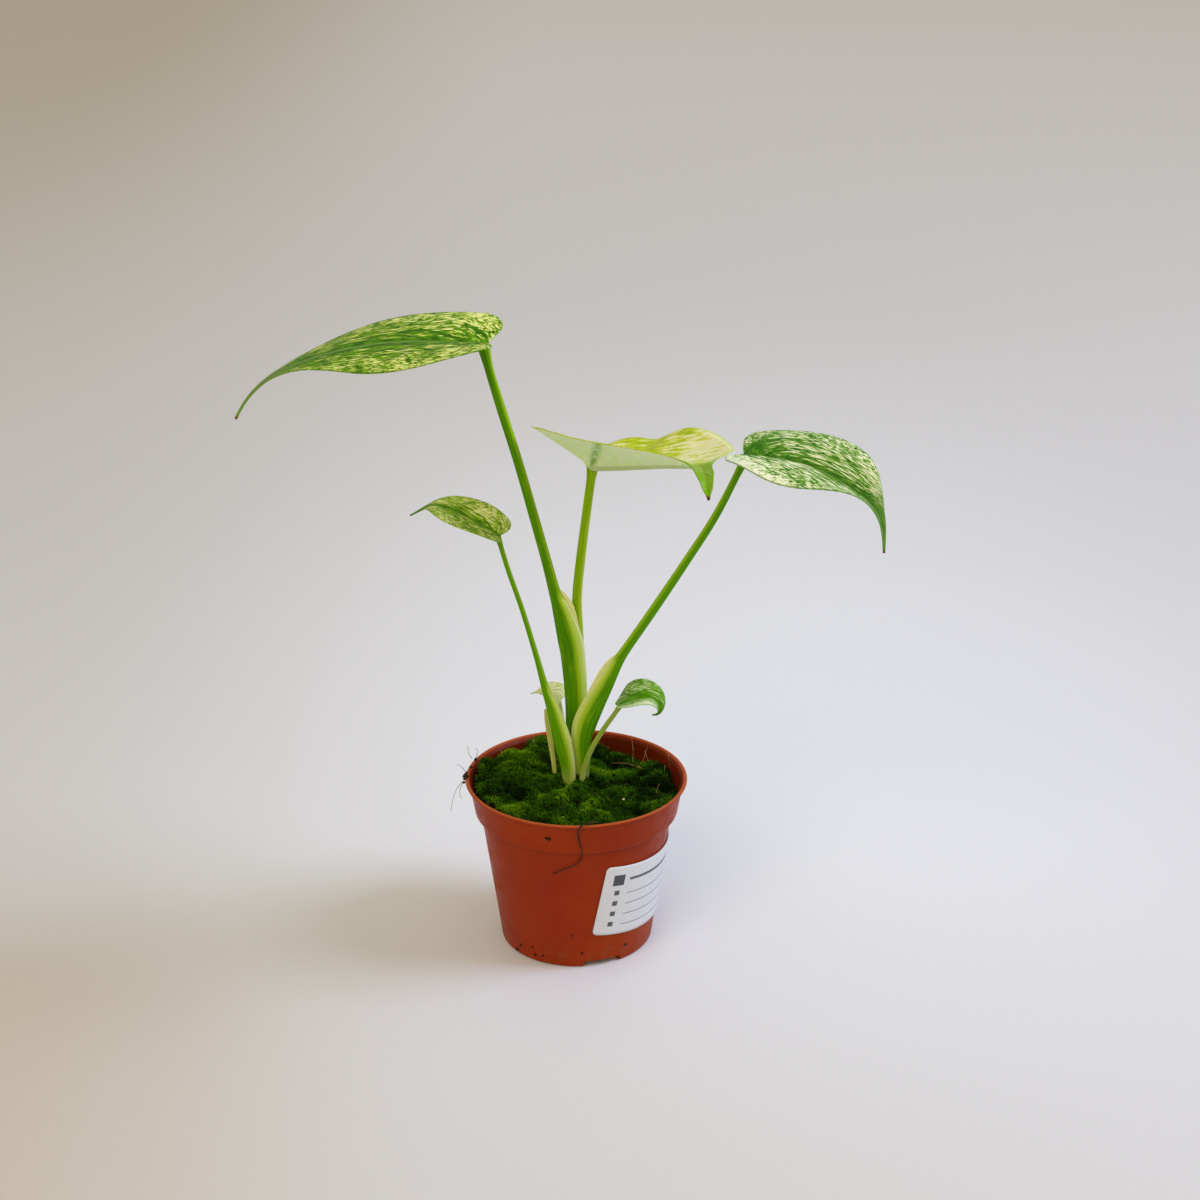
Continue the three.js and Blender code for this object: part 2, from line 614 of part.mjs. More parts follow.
function makeBlades() {
  const tints = { middle: COLOURS.paleBlade, cream: COLOURS.creamBlade };
  for (const [name, blade] of Object.entries(BLADES)) {
    addPiece(`blade_${name}`, bladeGeometry(blade), tints[name] ?? COLOURS.blade, 0.4);
  }
}

makePot();
makeLabel();
makeGrowth();
makeBlades();

export default root;
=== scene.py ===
# A young monstera with marbled leaves in a nursery pot, finished for rendering.
# Tables and shapes are in millimetres, as in the CAD model. new_piece turns them into metres.

import math

import bpy
import numpy as np
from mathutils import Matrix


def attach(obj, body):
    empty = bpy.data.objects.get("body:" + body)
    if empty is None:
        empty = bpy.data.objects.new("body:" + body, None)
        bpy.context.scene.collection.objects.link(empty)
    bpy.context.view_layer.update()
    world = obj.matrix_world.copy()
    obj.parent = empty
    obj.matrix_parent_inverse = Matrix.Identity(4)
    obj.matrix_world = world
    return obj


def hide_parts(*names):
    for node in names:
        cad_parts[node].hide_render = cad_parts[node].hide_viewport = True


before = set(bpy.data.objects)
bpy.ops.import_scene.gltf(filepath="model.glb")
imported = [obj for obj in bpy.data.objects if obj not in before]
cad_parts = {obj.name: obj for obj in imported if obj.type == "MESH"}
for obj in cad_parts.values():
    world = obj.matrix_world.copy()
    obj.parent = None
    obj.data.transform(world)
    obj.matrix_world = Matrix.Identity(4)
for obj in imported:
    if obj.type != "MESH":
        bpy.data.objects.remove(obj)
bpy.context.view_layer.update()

MM = 0.001

# The pot, as in the CAD model.
POT_HEIGHT = 71
LIP_RADIUS = 45
LIP_DEPTH = 1.3
BAND_TOP = 43.6
BAND_FOOT = 41.2
SHOULDER_HEIGHT = 56.5
BODY_TOP = 38.8
BODY_FOOT = 30.9
WALL = 1.0
FLOOR = 1.2
POT_SIDES = 216

# Three notches in the foot, each with a drain hole over it.
NOTCH_ANGLES = (-69.5, 50.5, 170.5)
NOTCH_WIDTH = 29
NOTCH_HEIGHT = 2.7
NOTCH_INNER_RADIUS = 23.5
NOTCH_ROOF = 1.2
DRAIN_RADIUS = 2.4
DRAIN_PLACE = 27

# The label on the body.
LABEL_GAP = 0.3
LABEL_THICKNESS = 0.35
LABEL_WIDTH = 52
LABEL_HEIGHT = 32.8
LABEL_CORNER = 1.9
LABEL_MIDDLE_ANGLE = -32.5
LABEL_MIDDLE_HEIGHT = 29.4
LABEL_TILT = -3
# Plain printing, as on a form: start and end across, height, thickness and ink, from the label's
# middle. Each ruled line has a small square before it.
LABEL_RULES = [(-22, -17, 9.8, 5, "#3d4247"), (-14.5, 22, 9.8, 1.3, "#565b60")]
for line_height in (3.8, -1.2, -6.2, -11.2):
    LABEL_RULES.append((-20.5, -18.3, line_height, 2.2, "#4a4f54"))
    LABEL_RULES.append((-14.5, 22, line_height - 0.6, 0.45, "#85898d"))

# The living moss.
MOSS_LEVEL = 62
MOSS_BOTTOM = 57.3
MOSS_EDGE_GAP = 0.4
# Its broad swell and dip: height, place and spread of each.
MOSS_SWELLS = ((7.5, (-24, 7), 35), (-3.4, (14, 24), 15))
# Its cushions, each a golden angle in degrees further round than the last.
GOLDEN_ANGLE = 137.508
MOSS_CUSHIONS = 34
MOSS_REACH = 40
MOSS_CUSHION_RADIUS = 7.5
MOSS_CUSHION_RISE = 3.2
# Its finer mounds: height, size and seed of each layer.
MOSS_MOUNDS = ((2.6, 5.5, 12), (1.1, 2.6, 3), (0.6, 1.1, 4))
# The shoots that grow on it, in two pieces, and the small leaves of each shoot.
SHOOTS_IN_A_PIECE = 7500
SHOOT_SEEDS = {"a": 21, "b": 22}
SHOOT_LEAVES = 6

# Leaf stalks, from the stem base up: x, y, z, half width across, half width in depth.
STALKS = {
    "left": [
        [0, 6.2, 62, 3.4, 2.6], [0, 7.2, 83, 4.2, 3.3], [0, 7.2, 102, 4.5, 3.5],
        [-1.1, 6.9, 120, 4.9, 3.4], [-2.6, 6.4, 130, 5.0, 3.2], [-5.8, 5.6, 142, 3.6, 2.7],
        [-8.2, 5, 149, 2.4, 2.2], [-11.5, 4, 163, 2.0, 1.9], [-16.5, 3, 183, 1.9, 1.8],
        [-22, 2, 204.5, 1.8, 1.7], [-27.8, 1, 225, 1.8, 1.7], [-32.2, 0.3, 241, 1.7, 1.6],
        [-34.3, 0, 250.6, 1.9, 1.8],
    ],
    "middle": [
        [2.2, 6.3, 63, 1.8, 1.6], [2.3, 7.4, 83, 2, 2], [2.2, 7.4, 102, 2, 2],
        [1.6, 7.3, 119, 2, 2], [0.8, 7.3, 134, 2, 2], [0.5, 8, 146, 1.9, 1.9],
        [1.9, 9.3, 161, 1.85, 1.8], [4, 10.8, 178, 1.75, 1.75], [6.6, 11.7, 198, 1.75, 1.75],
    ],
    "right": [
        [1.5, 1.8, 62, 2.6, 1.2], [2.2, 1.4, 76, 3.4, 1.6], [1.9, 1.2, 85, 3.9, 1.8],
        [3.4, 1, 93.5, 4.8, 1.9], [7.2, 0.6, 103, 4.5, 1.9], [10.2, 0.3, 109, 3.9, 1.9],
        [13.2, 0, 115, 3.2, 1.9], [16.5, -0.6, 121.5, 2.4, 1.8], [20.4, -1, 128, 1.9, 1.75],
        [31.0, -2, 145, 1.8, 1.7], [43.2, -2.5, 165, 1.65, 1.6], [54.6, -3, 184.6, 1.5, 1.5],
        [64.8, -3.2, 206.4, 1.3, 1.3],
    ],
    "small": [
        [-2.6, -1.6, 62, 2.4, 1.5], [-3.3, -2, 76, 3, 1.8], [-5.6, -2.4, 88, 3.5, 1.8],
        [-9.2, -2.8, 102, 2.6, 1.6], [-12.2, -3.2, 111.5, 1.6, 1.3], [-15.7, -4, 126, 1.15, 1.1],
        [-21, -5, 146, 1, 1], [-26.2, -6, 163, 0.95, 0.95], [-29.7, -5.9, 175.8, 0.95, 0.95],
    ],
    "low": [
        [2.6, -2.2, 64, 1.1, 1.1], [2.6, -2.8, 73, 1.1, 1.1], [4.8, -3.1, 81, 1.1, 1.1],
        [7.4, -3.1, 87, 1.05, 1.05], [11.6, -2.2, 93.7, 1, 1], [15.4, -0.8, 98.8, 0.95, 0.95],
        [17, -0.1, 101.1, 0.9, 0.9],
    ],
    "cream": [
        [-3.2, 10.8, 63, 0.9, 0.9], [-4.2, 12.6, 76, 0.9, 0.9], [-5.2, 13.2, 87, 0.85, 0.85],
        [-6.8, 14, 97.4, 0.8, 0.8],
    ],
}
DRY_SHEATH = [
    [-8, 0.6, 64, 0.7, 0.4], [-9.4, 0.6, 79, 1.0, 0.4], [-10.6, 0.9, 88, 1.2, 0.4],
    [-11.8, 1.1, 95.5, 0.9, 0.38], [-12.4, 1.2, 100, 0.45, 0.35],
]

# One side of a flat blade: share of the length, share of the half width, and where its vein starts.
BLADE_OUTLINE = [
    [0, 0, 0], [-0.045, 0.16, 0.006], [-0.1, 0.38, 0.012], [-0.115, 0.6, 0.02],
    [-0.06, 0.83, 0.03], [0.07, 0.98, 0.05], [0.25, 0.985, 0.11], [0.44, 0.81, 0.235],
    [0.6, 0.53, 0.41], [0.72, 0.28, 0.58], [0.81, 0.13, 0.74], [0.9, 0.055, 0.88], [1, 0, 1],
]
VEIN_SWEEP = 1.25
RIB_STEPS = 120
BLADE_ROWS = 170
BLADE_COLUMNS = 34
# A blade of this half width has the full thickness, groove and keel. Smaller ones have less.
FULL_HALF_WIDTH = 28
VEIN_RIDGES = 15
VEIN_RISE = 0.16
RIB_THICKNESS = 0.75
EDGE_THICKNESS = 0.4
GROOVE_DEPTH = 0.45
GROOVE_WIDTH = 0.9
# The keel's depth and width: at the tip, and how much it has more at the foot.
KEEL_DEPTH = (0.35, 1.1)
KEEL_WIDTH = (0.6, 0.9)
# The streaks and veins leave the rib steeply at the base and lie ever closer to it further out:
# how many mm along the rib for each mm outwards, at the base and near the tip.
VEIN_SLANTS = (0.6, 5.6)

# Each blade's place, size and bends, as in the CAD model.
BLADES = {
    "left": {
        "base": [-33.5, 0, 251.9], "length": 105, "half": 28,
        "heading": [182, 187, 228], "pitch": [6, 0, -11, -20, -57], "roll": [-5, 14],
        "left": [26, -7, 16], "right": [17, 13, -20], "lobes": [0.16, 0.48], "cup": [-0.17, -0.17],
    },
    "middle": {
        "base": [6.2, 12, 199.7], "length": 119, "half": 36,
        "heading": [-51, -68, -88], "pitch": [14, 17, 17, 13, -25], "roll": [-16, 0],
        "left": [2, -6, 40], "right": [29, 21, 29], "lobes": [1.8, 0.77], "cup": [0.5, -0.12],
        "droop": [2, 16], "wave": [3.4, -0.01, 0.075], "tip_width": 0.04,
    },
    "right": {
        "base": [64.9, -3, 207.9], "length": 88, "half": 24.5,
        "heading": [-22, -54, -86], "pitch": [10, 0, -9, -11, -78], "roll": [10, -4],
        "left": [19, 34, 43], "right": [40, 17, 62], "lobes": [0.3, 0.2], "cup": [-0.33, -0.33],
    },
    "small": {
        "base": [-29.3, -6, 177.1], "length": 48, "half": 12,
        "heading": [167, 141, 139], "pitch": [33, 17, 5, -26, -33], "roll": [-2, -17],
        "left": [14, 8, 12], "right": [13, 10, 21], "lobes": [0.3, 0.3], "cup": [-0.02, -0.02],
    },
    "low": {
        "base": [16.9, 0, 102], "length": 25, "half": 12,
        "heading": [8, 3, -26], "pitch": [19, 20, -10, -75, -181], "roll": [-16, 41],
        "left": [2, 22, 41], "right": [7, 18, 14], "lobes": [0.3, 0.3], "cup": [-0.03, -0.03],
    },
    "cream": {
        "base": [-6.5, 14, 98.4], "length": 13, "half": 6.5,
        "heading": [170, 180, 190], "pitch": [42, 28, 12, -2, -15], "roll": [-20, -20],
        "left": [15, 20, 20], "right": [15, 20, 20], "lobes": [0.5, 0.5], "cup": [0, 0],
    },
}

# How each blade is marked. cover is how much of it is pale, patch how much that varies from place
# to place, outward how much it grows towards the margin, streak the width and length of the pale
# marks, dots the size of those near the base and net how far they replace the streaks there. cells
# is the size of the meshes of the fine green net that runs over it all. blots are large pale or,
# below 0, green places: share of the rib, share of the width (left is above 0), their sizes in the
# same shares and how strong they are. stripe is a green band under the right half, from the rib to
# the margin: share of the rib, slope and width.
LEAF_LOOKS = {
    "left": {
        "deep": "#2c6000", "green": "#528a02", "pale": "#b4c846", "cream": "#e4e99c",
        "rib": "#6b8c44", "under": "#9fb578", "tip": "#6a8a34",
        "cover": 0.48, "patch": 0.4, "outward": 0.1, "streak": (0.7, 3.6), "dots": 1.1, "net": 0.4,
        "cells": (1.4, 4.5),
        "blots": [(-0.02, -0.6, 0.2, 0.5, 0.1), (0.05, 0.7, 0.25, 0.4, 0.05),
                  (0.8, 0, 0.2, 1, -0.1)],
    },
    "middle": {
        "deep": "#9fbb08", "green": "#b9cd1e", "pale": "#d3db6a", "cream": "#e4e8bc",
        "rib": "#a9bf63", "under": "#cfe8a2", "tip": "#5f9a10",
        "cover": 0.7, "patch": 0.5, "outward": 0.05, "streak": (1.6, 10), "dots": 3.0, "net": 0.2,
        "cells": (5, 24),
        "blots": [(0.0, 0.7, 0.12, 0.6, -0.1), (0.45, 0.9, 0.2, 0.3, 0.12),
                  (0.3, 0.9, 0.1, 0.3, 0.1)],
        "stripe": (0.0, 0.46, 0.022), "slants": (2.2, 2.4),
    },
    "right": {
        "deep": "#2c6a0a", "green": "#5c9228", "pale": "#b4cc80", "cream": "#ebeed2",
        "rib": "#4d7c2e", "under": "#a9c08a", "tip": "#5a8a34",
        "cover": 0.66, "patch": 0.24, "outward": 0.04, "streak": (0.7, 4), "dots": 1.0, "net": 0.8,
        "cells": (1.3, 5),
        "blots": [(0.0, -1.0, 0.15, 0.3, 0.3), (0.28, -1.0, 0.12, 0.15, 0.14),
                  (0.3, -0.3, 0.08, 0.15, 0.1), (0.6, 0.8, 0.2, 0.15, 0.04),
                  (0.03, 0.2, 0.08, 0.3, -0.15), (0.3, 0.3, 0.2, 0.3, 0.04)],
    },
    "small": {
        "deep": "#3f7502", "green": "#74a412", "pale": "#aac436", "cream": "#e2e7a8",
        "rib": "#44760c", "under": "#a4bc68", "tip": "#477a08",
        "cover": 0.62, "patch": 0.4, "outward": 0.05, "streak": (0.6, 2), "dots": 0.55, "net": 1,
        "cells": (1.2, 2),
        "blots": [(0.2, -0.6, 0.12, 0.3, 0.12), (0, -0.8, 0.2, 0.4, 0.05),
                  (0.4, 0.6, 0.3, 0.4, 0.03)],
    },
    "low": {
        "deep": "#3a7400", "green": "#5f9a08", "pale": "#94b95c", "cream": "#cfdcb4",
        "rib": "#568a18", "under": "#b2c69a", "tip": "#4f8a0a",
        "cover": 0.56, "patch": 0.5, "outward": 0.06, "streak": (0.6, 2), "dots": 0.6, "net": 0.9,
        "cells": (1.3, 2.8),
        "blots": [(0.3, -0.95, 0.4, 0.3, 0.25), (0.5, 0.1, 0.25, 0.4, -0.1),
                  (0.35, 0.75, 0.2, 0.3, 0.08)],
    },
    "cream": {
        "deep": "#b4c06c", "green": "#c8d08a", "pale": "#dfe2ac", "cream": "#efefca",
        "rib": "#c4cc94", "under": "#cfd3a8", "tip": "#c6ca96",
        "cover": 0.6, "patch": 0.4, "outward": 0, "streak": (0.8, 2), "dots": 1.0, "net": 0.4,
        "cells": (2, 3),
        "blots": [],
    },
}
# The side veins leave the rib at even steps of this share of the blade's length.
VEIN_STEP = 0.11
TIP_BROWN = "#6b3d14"

# The stalks grow into the blades: how far they reach into them, and how much they widen there.
STALK_REACH = 0.9
STALK_FLARES = {"middle": 0.3, "cream": 0}
USUAL_FLARE = 0.25
STALK_SIDES = 48
# Each stalk's deep, bright and light greens.
STALK_COLOURS = {
    "left": ("#427500", "#569602", "#96ba18"),
    "middle": ("#6a9400", "#8cb204", "#acc63a"),
    "right": ("#468400", "#5c9d02", "#9dbf28"),
    "small": ("#4a8a00", "#64a202", "#96ba20"),
    "low": ("#76982a", "#94ac44", "#b7c574"),
    "cream": ("#a2b45c", "#bcc886", "#d3d9a8"),
}

# The sheaths at the stalks' feet. side is 1 where the thin margin is on the right, top is where
# the sheath ends and line is how bright the line along its margin is. margin is the stretch where
# the margin stands free, with its width, its lean towards the top and its shift in depth.
SHEATH_FOOT = 60
MARGIN_THICKNESS = 0.24
MARGIN_ROWS = 50
MARGIN_COLUMNS = 6
SHEATHS = {
    "left": {"side": 1, "top": 148, "line": 0, "margin": (128, 150.5),
             "width": 2.0, "lean": 1.7, "depth": -0.6},
    "right": {"side": -1, "top": 122, "line": 0, "margin": (88, 124),
              "width": 1.9, "lean": 3.4, "depth": -0.5},
    "small": {"side": 1, "top": 112, "line": 0.8, "margin": (72, 110),
              "width": 0.7, "lean": 1.3, "depth": -0.4},
}

# Small things that came with the plant: the paths of threads, and the place and radius of lumps.
FALLEN_ROOT = [
    [9, -36, 66], [9, -40.5, 70.3], [7.6, -43.4, 72], [3.4, -45, 72], [1.4, -45.7, 70.2],
    [1.1, -43.7, 66.4], [1.6, -42.8, 62.1], [2.5, -42.1, 58.7], [2.4, -40.3, 56.2],
    [2.2, -38.9, 53.8], [-0.2, -38.7, 50.9], [-4.5, -38.1, 48.6], [-9.1, -36.8, 45.7],
]
RIM_CLUMP = [
    [-45.0, 1.2, 71.2, 0.6], [-45.2, -0.6, 71.1, 0.95], [-45.0, -2.4, 70.9, 0.85],
    [-45.4, -3.6, 69.8, 0.65], [-44.6, 2.6, 71.3, 0.45], [-44.2, -1.4, 71.5, 0.7],
    [-43.2, 7.4, 71.3, 0.5], [-41.4, 14.6, 71.3, 0.7],
]
RIM_HAIRS = [
    [[-45, 2, 72], [-46.5, 3.5, 73], [-48, 5, 73.4], [-49, 6.6, 72.6]],
    [[-43, 15, 71.4], [-44.5, 18, 72.6], [-45, 21, 74.6]],
    [[-46, -3, 70], [-48, -5, 68], [-49.6, -8, 65], [-50.4, -12, 61]],
    [[-46, -4, 70], [-47, -6, 67], [-46.4, -8, 64.5]],
    [[-41.5, 15, 71.6], [-40.8, 18.6, 73.2], [-41.8, 21, 73.6]],
]
MOSS_HAIRS = [
    [[23, 27, 61], [23.4, 27, 69], [22.6, 27.2, 76.5]],
    [[27, 25, 61], [27.8, 25, 67], [29.4, 25.4, 72]],
    [[30.5, 24, 61], [29.6, 24, 66], [28.2, 24.4, 70.5]],
    [[35, 13, 62], [35.8, 13, 66], [36.4, 13, 69.5]],
    [[38.5, 17, 62], [38.2, 17.4, 68], [37.6, 18, 73]],
    [[-18, 29, 63], [-18.3, 29.2, 70], [-17.6, 29.6, 76]],
    [[-30, 18, 66], [-30.6, 18, 71], [-31.6, 18.4, 75]],
    [[32, -6, 64], [32.6, -6, 67.5], [33.6, -6.2, 70.5]],
]
STRAWS = [
    [[-36.1, 4.5, 67.6], [-32, 3.6, 70.8], [-27.8, 2.5, 72]],
    [[-34, 8, 68.2], [-30, 5.4, 71.2], [-27, 4.8, 72.2]],
    [[5.6, -23.2, 66.6], [8.4, -27, 68.2], [10.8, -31.4, 67.8]],
    [[6.4, -6.6, 66.8], [8, -8.4, 67.3], [9.6, -9.3, 66.2]],
    [[14.4, 28, 63.2], [21, 22.5, 65.5], [28.4, 15.3, 66.4]],
]
GRIT = [
    [-22.8, 16.6, 70.2, 0.7], [-24.2, 15.4, 70.4, 0.6], [-30.4, 16, 69, 0.6],
    [-13.8, -7.4, 70.9, 0.65], [19, -14, 67.3, 0.5], [-5, -30, 67.4, 0.45],
]
POT_DIRT = [
    [-22.7, -22, 5.3, 0.6], [-24.1, -19.8, 2.1, 0.7], [-17.7, -26.4, 6.7, 0.45],
    [-16.7, -26.6, 3.4, 0.6], [-13.5, -28.4, 3.9, 0.5], [2.3, -31.8, 7, 0.5],
    [-1.4, -33.1, 15.8, 0.4], [20, -24.9, 7.2, 0.55], [-11.4, -40.9, 63.8, 0.6],
    [-10.3, -41.2, 63.6, 0.7],
]

# The camera that fits the pot's outline in the photo: place in metres and tilt in degrees.
CAMERA_PLACE = (0.00961, -0.9138, 0.5163)
CAMERA_TILT = 68.04
CAMERA_LENS = 75
SENSOR_WIDTH = 36

# The lights: place and width in metres, power in watts and tint.
LIGHTS = {
    "window": ((1.25, -0.1, 1.2), 0.8, 19.5, "#d3e0ff"),
    "lamp": ((-0.7, -1.5, 1.3), 1.4, 14, "#ffe2ba"),
}
LIGHT_TARGET = (0, 0, 0.1)
ROOM_TINT = "#e3dac8"
ROOM_LIGHT = 0.8
FLOOR_REACH = 8.0


def colour(text):
    """A hex colour as it looks on screen, as linear red, green, blue and alpha."""
    shares = [int(text[i:i + 2], 16) / 255 for i in (1, 3, 5)]
    linear = [s / 12.92 if s <= 0.04045 else ((s + 0.055) / 1.055) ** 2.4 for s in shares]
    return (*linear, 1.0)


# Building shader node trees


class Nodes:
    """Adds nodes to a material. A value may be a number, a colour or another node's output."""

    def __init__(self, name, roughness=0.5, specular=0.5):
        self.material = bpy.data.materials.new(name)
        self.material.use_nodes = True
        self.tree = self.material.node_tree
        self.surface = self.tree.nodes["Principled BSDF"].inputs
        self.surface["Roughness"].default_value = roughness
        self.surface["Specular IOR Level"].default_value = specular

    def feed(self, socket, value):
        if isinstance(value, bpy.types.NodeSocket):
            self.tree.links.new(value, socket)
        elif isinstance(value, str):
            socket.default_value = colour(value)
        else:
            socket.default_value = value

    def add(self, kind, inputs, **settings):
        """Adds a node and returns its outputs."""
        made = self.tree.nodes.new(kind)
        for key, value in settings.items():
            setattr(made, key, value)
        for key, value in inputs.items():
            self.feed(made.inputs[key], value)
        return made.outputs

    def uv(self, layer):
        return self.add("ShaderNodeUVMap", {}, uv_map=layer)[0]

    def place(self):
        return self.add("ShaderNodeTexCoord", {})["Object"]

    def parts(self, vector):
        return self.add("ShaderNodeSeparateXYZ", {0: vector})

    def pair(self, layer):
        """The two numbers of a layer."""
        return self.parts(self.uv(layer))[:2]

    def scaled(self, vector, scale):
        return self.add("ShaderNodeMapping", {"Vector": vector, "Scale": scale})[0]

    def noise(self, vector, scale=1.0, detail=2.0, roughness=0.5, distortion=0.0):
        """Cloudy noise. A scale of three numbers stretches it."""
        if isinstance(scale, tuple):
            vector = self.scaled(vector, scale)
            scale = 1.0
        return self.add("ShaderNodeTexNoise", {
            "Vector": vector, "Scale": scale, "Detail": detail, "Roughness": roughness,
            "Distortion": distortion,
        })[0]

    def cells(self, vector, scale, feature="F1"):
        return self.add("ShaderNodeTexVoronoi", {"Vector": vector, "Scale": scale},
                        feature=feature)["Distance"]

    def math(self, operation, first, second=0.0, third=0.0):
        return self.add("ShaderNodeMath", {0: first, 1: second, 2: third}, operation=operation)[0]

    def times(self, first, second):
        return self.math("MULTIPLY", first, second)

    def less(self, first, second):
        return self.math("SUBTRACT", first, second)

    def raised(self, base, value, amount):
        """base plus amount times value."""
        return self.math("MULTIPLY_ADD", value, amount, base)

    def swayed(self, base, value, amount):
        """base plus amount times what value is above a half."""
        return self.raised(base, self.less(value, 0.5), amount)

    def rising(self, value, low, high, start=0.0, end=1.0):
        """A smooth step from start to end as value goes from low to high."""
        return self.add("ShaderNodeMapRange", {
            "Value": value, "From Min": low, "From Max": high, "To Min": start, "To Max": end,
        }, interpolation_type="SMOOTHSTEP")[0]

    def mix(self, share, first, second):
        return self.add("ShaderNodeMix", {"Factor": share, 6: first, 7: second},
                        data_type="RGBA")[2]

    def tinted(self, under, tint, value, low, high, share=1.0):
        """Brings a tint in over a colour as value goes from low to high, up to the given share."""
        return self.mix(self.rising(value, low, high, end=share), under, tint)

    def rough(self, value):
        self.feed(self.surface["Roughness"], value)

    def finished(self, paint, bumps=None, bump_mm=0.0, strength=1.0, glow=0.0, glow_mm=()):
        """Gives the surface its colour, and bumps or a waxy glow where it has them, and returns the
        material."""
        self.feed(self.surface["Base Color"], paint)
        if bumps is not None:
            bump = {"Height": bumps, "Distance": bump_mm * MM, "Strength": strength}
            self.feed(self.surface["Normal"], self.add("ShaderNodeBump", bump)[0])
        if glow:
            self.surface["Subsurface Weight"].default_value = glow
            self.surface["Subsurface Radius"].default_value = [reach * MM for reach in glow_mm]
            self.surface["Subsurface Scale"].default_value = 1.0
        return self.material


# Shape helpers


def between(x, x0, y0, x1, y1):
    return y0 + (y1 - y0) * (x - x0) / (x1 - x0)


def smooth_step(x, low, high):
    share = np.clip((x - low) / (high - low), 0, 1)
    return share * share * (3 - 2 * share)


def along(values, t):
    """A smooth curve through evenly spaced numbers or points, read at t from 0 to 1."""
    values = np.asarray(values, float)
    last = len(values) - 1
    place = np.clip(np.asarray(t, float), 0, 1) * last
    i = np.minimum(place.astype(int), last - 1)
    f = place - i
    if values.ndim > 1:
        f = f[..., None]
    before = 2 * values[:1] - values[1:2]
    after = 2 * values[-1:] - values[-2:-1]
    padded = np.concatenate([before, values, after])
    a, b, c, d = (padded[i + step] for step in range(4))
    square = 2 * a - 5 * b + 4 * c - d
    cube = 3 * b - a - 3 * c + d
    return 0.5 * (2 * b + (c - a) * f + square * f ** 2 + cube * f ** 3)


def unit(vectors):
    return vectors / np.maximum(np.linalg.norm(vectors, axis=-1, keepdims=True), 1e-9)


def lattice(x, y, size, seed):
    """Smooth noise from 0 to 1 over x and y, with bumps of about the given size."""
    table = np.random.default_rng(seed).random((64, 64))
    u = np.asarray(x) / size + 1000
    v = np.asarray(y) / size + 1000
    i = np.floor(u).astype(int)
    j = np.floor(v).astype(int)
    fu = smooth_step(u - i, 0, 1)
    fv = smooth_step(v - j, 0, 1)
    low = table[i % 64, j % 64] * (1 - fu) + table[(i + 1) % 64, j % 64] * fu
    high = table[i % 64, (j + 1) % 64] * (1 - fu) + table[(i + 1) % 64, (j + 1) % 64] * fu
    return low * (1 - fv) + high * fv


def grid_faces(rows, columns, first=0, wrap=False):
    """Four-sided faces over a grid of points that is stored row by row."""
    i, j = np.meshgrid(np.arange(rows - 1), np.arange(columns if wrap else columns - 1),
                       indexing="ij")
    a = first + i * columns + j
    b = first + i * columns + (j + 1) % columns
    return np.stack([a, b, b + columns, a + columns], axis=-1).reshape(-1, 4)


def turns(sides):
    """Angles at even steps round a circle."""
    return np.linspace(0, 2 * np.pi, sides, endpoint=False)


def polar(radius, angle, z):
    """Points at a distance and an angle round the pot's axis, at height z."""
    sizes = np.broadcast_arrays(radius * np.cos(angle), radius * np.sin(angle), z)
    return np.stack(sizes, axis=-1)


def rings_round(middle, across, deep, half_across, half_deep, angle):
    """Elliptical rings round the points of a line, whose axes lie along across and deep."""
    return (middle[:, None]
            + across[:, None] * (half_across[:, None] * np.cos(angle))[..., None]
            + deep[:, None] * (half_deep[:, None] * np.sin(angle))[..., None])


def closed_tube(points):
    """Points and faces of a tube through rings of points, with a flat end at the first and last."""
    rows, sides = points.shape[:2]
    faces = [list(face) for face in grid_faces(rows, sides, wrap=True)]
    last = (rows - 1) * sides
    faces.append(list(range(sides))[::-1])
    faces.append([last + j for j in range(sides)])
    return points.reshape(-1, 3), faces


def closed_sheet(top, bottom):
    """Points and faces of a thin body between two grids of points."""
    rows, columns = top.shape[:2]
    count = rows * columns
    points = np.concatenate([top.reshape(-1, 3), bottom.reshape(-1, 3)])
    upper = grid_faces(rows, columns)[:, ::-1]
    lower = grid_faces(rows, columns, first=count)
    index = np.arange(count).reshape(rows, columns)
    rim = np.concatenate([index[0, :-1], index[:-1, -1], index[-1, :0:-1], index[:0:-1, 0]])
    after = np.roll(rim, -1)
    edge = np.stack([rim, after, after + count, rim + count], axis=-1)
    return points, np.concatenate([upper, lower, edge])


def joined(shapes):
    """The points and faces of several closed shapes, as one list of each."""
    points = []
    faces = []
    for shape_points, shape_faces in shapes:
        faces += [[corner + len(points) for corner in face] for face in shape_faces]
        points += np.asarray(shape_points).tolist()
    return points, faces


def point_layer(*values):
    """A pair of numbers for each point, as one row for each."""
    return np.stack(values, axis=-1).reshape(-1, 2)


def add_object(name, data):
    made = bpy.data.objects.new(name, data)
    bpy.context.scene.collection.objects.link(made)
    return made


def new_mesh(name, points, faces):
    mesh = bpy.data.meshes.new(name)
    mesh.from_pydata((np.asarray(points) * MM).tolist(), [], [list(face) for face in faces])
    return mesh


def new_piece(name, points, faces, materials, slot, uvs=None, face_materials=None, stands_for=()):
    """A mesh object that rides on the one body. uvs holds a pair of numbers for each point, or for
    each point of a thin sheet's first face, which its second face repeats."""
    mesh = new_mesh(name, points, faces)
    for material in materials:
        mesh.materials.append(material)
    if face_materials is not None:
        mesh.polygons.foreach_set("material_index", face_materials)
    corners = np.empty(len(mesh.loops), int)
    mesh.loops.foreach_get("vertex_index", corners)
    for layer_name, values in (uvs or {}).items():
        layer = mesh.uv_layers.new(name=layer_name)
        on_points = np.resize(values, (len(points), 2))
        layer.uv.foreach_set("vector", on_points[corners].ravel())
    mesh.shade_smooth()
    mesh.update()
    piece = add_object(name, mesh)
    if stands_for:
        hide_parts(*stands_for)
    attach(piece, "root")
    return piece


